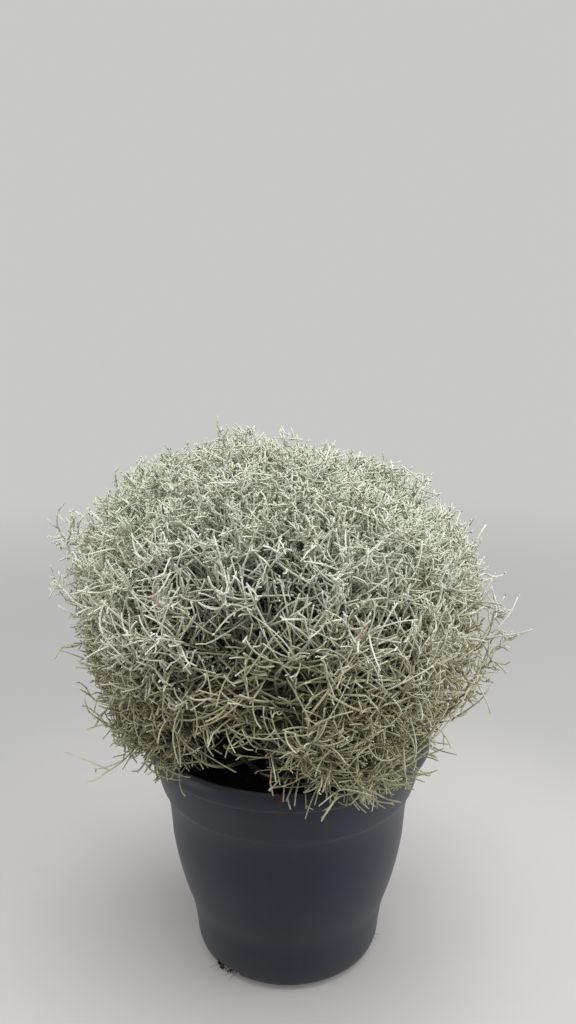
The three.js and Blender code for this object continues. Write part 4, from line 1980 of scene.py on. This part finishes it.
@dataclass
class Pot:
    """The nursery pot: a soft waist, a crease under the flare and a rounded band at the lip."""

    sides: int = 144
    fineness: int = 2
    floor: float = 3.0
    wall: float = 2.0
    # The height over which the floor's thickness fades out of the foot's inside.
    floor_fade: float = 20.0
    # The outside from the floor's edge to the top of the lip. Its first rings hold the slots.
    foot: tuple[Span, ...] = (
        (66.0, 0.0), (71.0, 0.0), (75.6, 0.9), (79.8, 2.9), (84.2, 5.2), (87.0, 7.9), (88.4, 11.6),
    )
    body: tuple[Span, ...] = (
        (88.4, 11.6), (89.1, 15.0), (89.7, 21.0), (90.7, 31.0), (91.9, 39.0), (93.1, 47.0), (95.1, 56.0),
        (98.2, 66.0), (101.8, 78.0), (105.2, 92.0), (108.4, 108.0), (110.7, 124.0), (111.8, 140.0),
        (113.2, 157.0), (115.7, 170.0), (117.6, 176.0),
    )
    flare: tuple[Span, ...] = (
        (117.6, 176.0), (118.9, 177.6), (120.0, 179.2), (121.2, 183.0), (123.6, 192.0), (126.4, 203.0),
        (128.3, 212.0), (128.9, 214.6), (130.4, 215.3), (132.3, 216.1), (133.5, 217.6), (134.0, 220.0),
        (134.0, 223.0), (133.7, 225.6), (133.0, 227.9), (131.9, 229.9), (130.5, 231.4), (129.0, 232.0),
        (127.7, 231.5), (127.0, 230.2), (126.8, 228.0),
    )
    # The inside of the flare, from its crease to the lip.
    inner_flare: tuple[Span, ...] = ((117.9, 180.2), (121.6, 192.5), (124.4, 203.5), (126.4, 213.0))
    slots: int = 3
    slot_sides: int = 8
    first_slot: float = -131.0
    drains: int = 6
    drain_radius: float = 6.0
    drain_circle: float = 45.0
    drain_sides: int = 20
    # Where things lie on the bake's map: the wall up to a height, the floor's two faces by their
    # corners and their width, the slots' edges, and the drain holes' walls.
    wall_patch: float = 0.84
    floor_patches: tuple[Span, Span] = ((0.0, 0.86), (0.15, 0.86))
    floor_patch: float = 0.13
    slot_patch: tuple[Span, ...] = ((0.9, 0.9), (0.95, 0.9), (0.95, 0.95), (0.9, 0.95))
    drain_patch: Span = (0.85, 0.855)
    finish: Plastic = field(default_factory=Plastic)

    def inside(self) -> Profile:
        """The inside's profile from the foot up, without the lip.

        Returns:
            Radii and heights.
        """
        top = self.foot[-1][1]
        foot = [(r - self.wall * z / top, z + self.floor * (1 - z / self.floor_fade)) for r, z in self.foot]
        body = [(r - self.wall, z) for r, z in self.body[2:]]
        return [*foot, *body, *self.inner_flare]

    def build(self) -> None:
        """Makes the pot and dresses it."""
        start = math.radians(self.first_slot) - self.slot_sides * math.pi / self.sides
        lathe = Lathe(self.sides, start)
        walls = [smoothed(list(stretch), self.fineness)[1:] for stretch in (self.body, self.flare)]
        outer = [lathe.ring(r, z) for r, z in (*self.foot, *walls[0], *walls[1])]
        inner = [lathe.ring(r, z) for r, z in self.inside()]
        last = len(self.foot) - 1
        whole = [*outer, *inner[::-1]]
        end = len(whole) - 1
        levels = np.linspace(0.0, self.wall_patch, len(whole))
        for k in range(end):
            slotted = 1 <= k < last or end - last <= k < end - 1
            gaps = self._slot_columns() if slotted else ()
            lathe.band(whole[k], whole[k + 1], tuple(levels[k : k + 2]), gaps)
        self._line_slots(lathe, outer, inner, last)
        self._floor(lathe, outer[0], inner[0])
        settle(lathe.build("nursery_pot", self.finish.material()), Slot.PLASTIC, "pot")

    def _slot_columns(self) -> tuple[int, ...]:
        """The sides of the foot that the slots open."""
        step = self.sides // self.slots
        return tuple(i * step + s for i in range(self.slots) for s in range(self.slot_sides))

    def _line_slots(self, lathe: Lathe, outer: list[Ring], inner: list[Ring], last: int) -> None:
        """Closes the wall's thickness round each slot.

        Args:
            lathe: The shape.
            outer: The outside's rings.
            inner: The inside's rings.
            last: The ring over the slots.
        """
        spots = list(self.slot_patch)
        for left in range(0, self.sides, self.sides // self.slots):
            right = left + self.slot_sides
            for k in range(1, last):
                for s, low, high in ((left, k, k + 1), (right, k + 1, k)):
                    lathe.face([outer[low][s], outer[high][s], inner[high][s], inner[low][s]], spots)
            for s in range(left, right):
                for k, near, far in ((1, s + 1, s), (last, s, s + 1)):
                    lathe.face([outer[k][near], inner[k][near], inner[k][far], outer[k][far]], spots)

    def _floor(self, lathe: Lathe, under: Ring, over: Ring) -> None:
        """Lays the floor with its drain holes.

        Args:
            lathe: The shape.
            under: The lowest ring outside.
            over: The lowest ring inside.
        """
        below, above = [], []
        for turn in full_turn(self.drains):
            middle = round_axis(self.drain_circle, turn, 0.0)
            for height, rings in ((0.0, below), (self.floor, above)):
                hole = round_axis(self.drain_radius, full_turn(self.drain_sides), height)
                rings.append(lathe.points(middle + hole))
        lathe.fill(under, below, self.floor_patches[0], self.floor_patch, False)
        lathe.fill(over, above, self.floor_patches[1], self.floor_patch, True)
        for low, high in zip(below, above, strict=True):
            lathe.band(high, low, self.drain_patch)


@dataclass
class Soil:
    """The potting soil: it fills the pot, with a crumbly top, and rootlets show at the slots."""

    pot: Pot = field(default_factory=Pot)
    top: float = 198.0
    rim: Span = (122.4, 196.0)
    rim_clear: float = 2.0
    gap: float = 0.4
    sides: int = 120
    rings: int = 44
    innermost: float = 0.02
    # How high the top swells, its slow waves along x, y and both, its crumbs' height and grain, the
    # level at which the grain's noise is read, and the roughness, step and number of its layers.
    swell: float = 1.5
    waves: Place = (0.11, 0.13, 0.07)
    first_wave: float = 1.0
    crumb: float = 2.6
    crumb_grain: float = 0.12
    crumb_level: float = 3.0
    crumb_layers: tuple[float, float, int] = (0.6, 2.0, 4)
    clods: int = 260
    clod_size: Span = (1.2, 3.8)
    clod_seat: float = 0.2
    clod_clear: float = 6.0
    # Rootlets at the slots: their count and that at the first slot, how far they turn aside, where
    # they start and end, how high they run, and how much and how far along they wave.
    roots: int = 9
    first_roots: int = 5
    root_points: int = 9
    root_aside: float = 0.12
    root_start: float = 70.0
    root_end: Span = (84.0, 93.0)
    root_heights: Span = (4.6, 0.7)
    root_lowest: float = 0.6
    root_wave: float = 0.6
    root_phase: float = 5.0
    root_stray: float = 0.014
    root_radius: float = 0.45
    # Crumbs that spill at the first slot: their turns from it, how far out and how high they lie, and
    # their sizes, which shrink along the slot.
    crumbs: int = 26
    crumb_turns: Span = (-0.16, 0.08)
    crumb_aside: float = 0.01
    crumb_out: Span = (82.0, 86.5)
    crumb_size: Span = (1.2, 2.6)
    crumb_shrink: Span = (1.1, 0.5)
    crumb_heights: Span = (3.0, 9.0)
    # Where things lie on the bake's map: the side and the top up to a height, the bottom by its
    # corner and width, the middle of the top, and rows of clods, roots and crumbs.
    side_patch: float = 0.3
    top_patch: float = 0.85
    bottom_patch: tuple[Span, float] = ((0.0, 0.9), 0.09)
    middle_patch: Span = (0.5, 0.86)
    clod_row: int = 160
    clod_patches: tuple[Span, Span] = ((0.15, 0.90), (0.005, 0.01))
    root_patches: tuple[Span, Span] = ((0.15, 0.95), (0.01, 0.0))
    crumb_patches: tuple[Span, Span] = ((0.3, 0.95), (0.01, 0.0))
    seed: int = 5
    finish: Peat = field(default_factory=Peat)

    def build(self) -> None:
        """Makes the soil and dresses it."""
        chance = np.random.default_rng(self.seed)
        lathe = Lathe(self.sides)
        wall = [(r, z) for r, z in self.pot.inside() if z < self.rim[1] - self.rim_clear]
        side = [lathe.ring(r - self.gap, z + self.gap) for r, z in (*wall, self.rim)]
        levels = np.linspace(0.0, self.side_patch, len(side))
        for k in range(len(side) - 1):
            lathe.band(side[k], side[k + 1], tuple(levels[k : k + 2]))
        lathe.fill(side[0], [], *self.bottom_patch, False)
        edge = self.rim[0] - self.gap
        before = side[-1]
        shares = np.linspace(1.0, self.innermost, self.rings)[1:]
        levels = np.linspace(self.side_patch, self.top_patch, self.rings)
        for k, share in enumerate(shares):
            ring = lathe.ring(edge * share, self._surface(edge * share, lathe.turns))
            lathe.band(before, ring, tuple(levels[k : k + 2]))
            before = ring
        lathe.face(before, [self.middle_patch] * len(before))
        self._clods(lathe, chance, edge - self.clod_clear)
        self._roots(lathe, chance)
        self._crumbs(lathe, chance)
        settle(lathe.build("potting_soil", self.finish.material()), Slot.SOIL, "soil")

    def _surface(self, radius: float, turns: Array) -> Array:
        """How high the soil lies.

        Args:
            radius: How far from the middle.
            turns: The turn of each place, in radians.

        Returns:
            The heights.
        """
        x, y = radius * np.cos(turns), radius * np.sin(turns)
        along, across, both = self.waves
        broad = np.sin(x * along + self.first_wave) * np.cos(y * across) + np.sin((x + y) * both)
        places = np.stack([x, y], -1) * self.crumb_grain
        spots = [Vector((*place, self.crumb_level)) for place in places]
        rough = [noise.fractal(spot, *self.crumb_layers) for spot in spots]
        return self.top + self.swell * broad + self.crumb * np.array(rough)

    def _patch(self, row: tuple[Span, Span], index: int) -> Span:
        """The corner of a small patch on the bake's map, given its row's start and steps."""
        (u, v), (along, up) = row
        return u + along * (index % self.clod_row), v + up * (index // self.clod_row)

    def _clods(self, lathe: Lathe, chance: np.random.Generator, reach: float) -> None:
        """Strews clods over the top.

        Args:
            lathe: The shape.
            chance: Where they lie.
            reach: How far out they lie.
        """
        for i in range(self.clods):
            radius = reach * math.sqrt(chance.random())
            turn = np.array([chance.uniform(0, 2 * math.pi)])
            height = self._surface(radius, turn)
            size = chance.uniform(*self.clod_size)
            middle = round_axis(radius, turn, height + self.clod_seat * size)[0]
            lathe.clod(middle, size, chance, self._patch(self.clod_patches, i))

    def _roots(self, lathe: Lathe, chance: np.random.Generator) -> None:
        """Grows rootlets out of the slots.

        Args:
            lathe: The shape.
            chance: How they lie.
        """
        count = self.root_points
        for i in range(self.roots):
            slot = 0 if i < self.first_roots else 1 + i % 2
            turn = math.radians(self.pot.first_slot + 360.0 / self.pot.slots * slot)
            turn = turn + chance.uniform(-self.root_aside, self.root_aside)
            out = np.linspace(self.root_start, chance.uniform(*self.root_end), count)
            turns = turn + np.cumsum(chance.normal(0.0, self.root_stray, count))
            wave = self.root_wave * np.sin(np.linspace(0.0, self.root_phase, count) + i)
            high = np.maximum(np.linspace(*self.root_heights, count) + wave, self.root_lowest)
            patch = self._patch(self.root_patches, i)
            lathe.root(round_axis(out, turns, high), self.root_radius, patch)

    def _crumbs(self, lathe: Lathe, chance: np.random.Generator) -> None:
        """Spills crumbs at the first slot.

        Args:
            lathe: The shape.
            chance: How they lie.
        """
        slot = math.radians(self.pot.first_slot)
        for i, share in enumerate(np.linspace(0.0, 1.0, self.crumbs)):
            aside = chance.uniform(-self.crumb_aside, self.crumb_aside)
            turn = slot + mix(*self.crumb_turns, share) + aside
            out, size = chance.uniform(*self.crumb_out), chance.uniform(*self.crumb_size)
            middle = round_axis(out, turn, chance.uniform(*self.crumb_heights))
            size = size * mix(*self.crumb_shrink, share)
            lathe.clod(middle, size, chance, self._patch(self.crumb_patches, i))


@dataclass(frozen=True)
class Lamp:
    """A soft square lamp: its place and target and its width in metres, and its power in watts."""

    name: str
    place: Place
    target: Place
    width: float
    power: float

    def build(self) -> None:
        """Hangs it in the scene."""
        light = bpy.data.lights.new(self.name, "AREA")
        light.size = self.width
        light.energy = self.power
        lamp = placed(self.name, light)
        lamp.location = self.place
        back = np.array(self.place) - np.array(self.target)
        flat = math.hypot(back[0], back[1])
        lamp.rotation_euler = (math.atan2(flat, back[2]), 0.0, math.atan2(back[0], -back[1]))


@dataclass
class Studio:
    """The camera at the photograph's angle, a pale floor and soft light."""

    focal: float = 950.0
    long_side: float = 1024.0
    sensor: float = 36.0
    place: Place = (0.0, -0.815, 0.657)
    pitch: float = 15.25
    backdrop: Colour = (0.58, 0.585, 0.565)
    ambient: Colour = (0.425, 0.431, 0.437)
    # The floor's colours near and far, darker far out as painted shade, in its scuffs and between; how far
    # out it changes and ends.
    floor: Colour = (0.42, 0.412, 0.40)
    floor_far: Colour = (0.31, 0.307, 0.30)
    floor_scuff: Colour = (0.35, 0.335, 0.32)
    scuff: Cloud = Cloud(2.5, 5.0, 0.6)
    scuffs: Step = Step(0.35, 0.75, 0.35)
    floor_changes: Step = Step(0.2, 0.6)
    floor_ends: Step = Step(0.55, 1.9)
    floor_sides: int = 96
    floor_roughness: float = 0.6
    # The floor's glow is painted light that lifts the shadows on it.
    floor_glow: float = 0.18
    lamps: tuple[Lamp, ...] = (
        Lamp("ceiling", (0.1, -0.2, 2.2), (0.0, 0.0, 0.3), 2.0, 57.0),
        Lamp("key", (0.7, -1.5, 2.0), (0.0, 0.0, 0.35), 1.2, 6.0),
        Lamp("left", (-1.7, -0.3, 0.40), (0.0, 0.0, 0.28), 1.3, 13.5),
        Lamp("right", (1.7, -0.3, 0.5), (0.0, 0.0, 0.28), 1.3, 23.0),
    )

    def build(self) -> None:
        """Sets up the camera, the floor and the light."""
        self._camera()
        self._floor()
        self._world()
        for lamp in self.lamps:
            lamp.build()
        bpy.context.scene.view_settings.view_transform = "Standard"

    def _camera(self) -> None:
        """Places the camera."""
        lens = bpy.data.cameras.new("camera")
        lens.sensor_width = self.sensor
        lens.lens = self.focal / self.long_side * self.sensor
        camera = placed("camera", lens)
        camera.location = self.place
        camera.rotation_euler = (math.radians(90.0 - self.pitch), 0.0, 0.0)
        bpy.context.scene.camera = camera

    def _floor(self) -> None:
        """Lays a round pale floor that fades into the surroundings."""
        mesh = bpy.data.meshes.new("floor")
        shape = bmesh.new()
        radius = self.floor_ends.high
        bmesh.ops.create_circle(shape, cap_ends=True, radius=radius, segments=self.floor_sides)
        shape.to_mesh(mesh)
        shape.free()
        s = Shader("pale_floor")
        across, back, _ = s.axes()
        out = (across**2.0 + back**2.0) ** 0.5
        skin = s.blend(s.rise(s.noise(self.scuff), self.scuffs), self.floor, self.floor_scuff)
        # Painted shade: darker far out.
        skin = s.blend(s.rise(out, self.floor_changes), skin, self.floor_far)
        sockets = {
            "Base Color": skin,
            "Roughness": self.floor_roughness,
            "Alpha": 1.0 - s.rise(out, self.floor_ends),
            # The floor glows with painted light that lifts its shadows.
            "Emission Color": skin,
            "Emission Strength": self.floor_glow,
        }
        mesh.materials.append(s.feed(sockets))
        placed("floor", mesh)

    def _world(self) -> None:
        """Makes the pale surroundings, which light less than they show."""
        world = bpy.data.worlds.new("studio")
        world.use_nodes = True
        nodes, links = world.node_tree.nodes, world.node_tree.links
        soft, seen = nodes["Background"], nodes.new("ShaderNodeBackground")
        soft.inputs["Color"].default_value = (*self.ambient, 1.0)
        seen.inputs["Color"].default_value = (*self.backdrop, 1.0)
        rays, both = nodes.new("ShaderNodeLightPath"), nodes.new("ShaderNodeMixShader")
        links.new(rays.outputs["Is Camera Ray"], both.inputs[0])
        links.new(soft.outputs[0], both.inputs[1])
        links.new(seen.outputs[0], both.inputs[2])
        links.new(both.outputs[0], nodes["World Output"].inputs["Surface"])
        bpy.context.scene.world = world


def main() -> None:
    """Builds the studio, the pot, the soil and the bush."""
    logging.basicConfig(level=logging.INFO, format="%(message)s")
    for part in (Studio(), Pot(), Soil(), Bush()):
        part.build()
        log.info("%s is built", type(part).__name__)


if __name__ == "__main__":
    main()
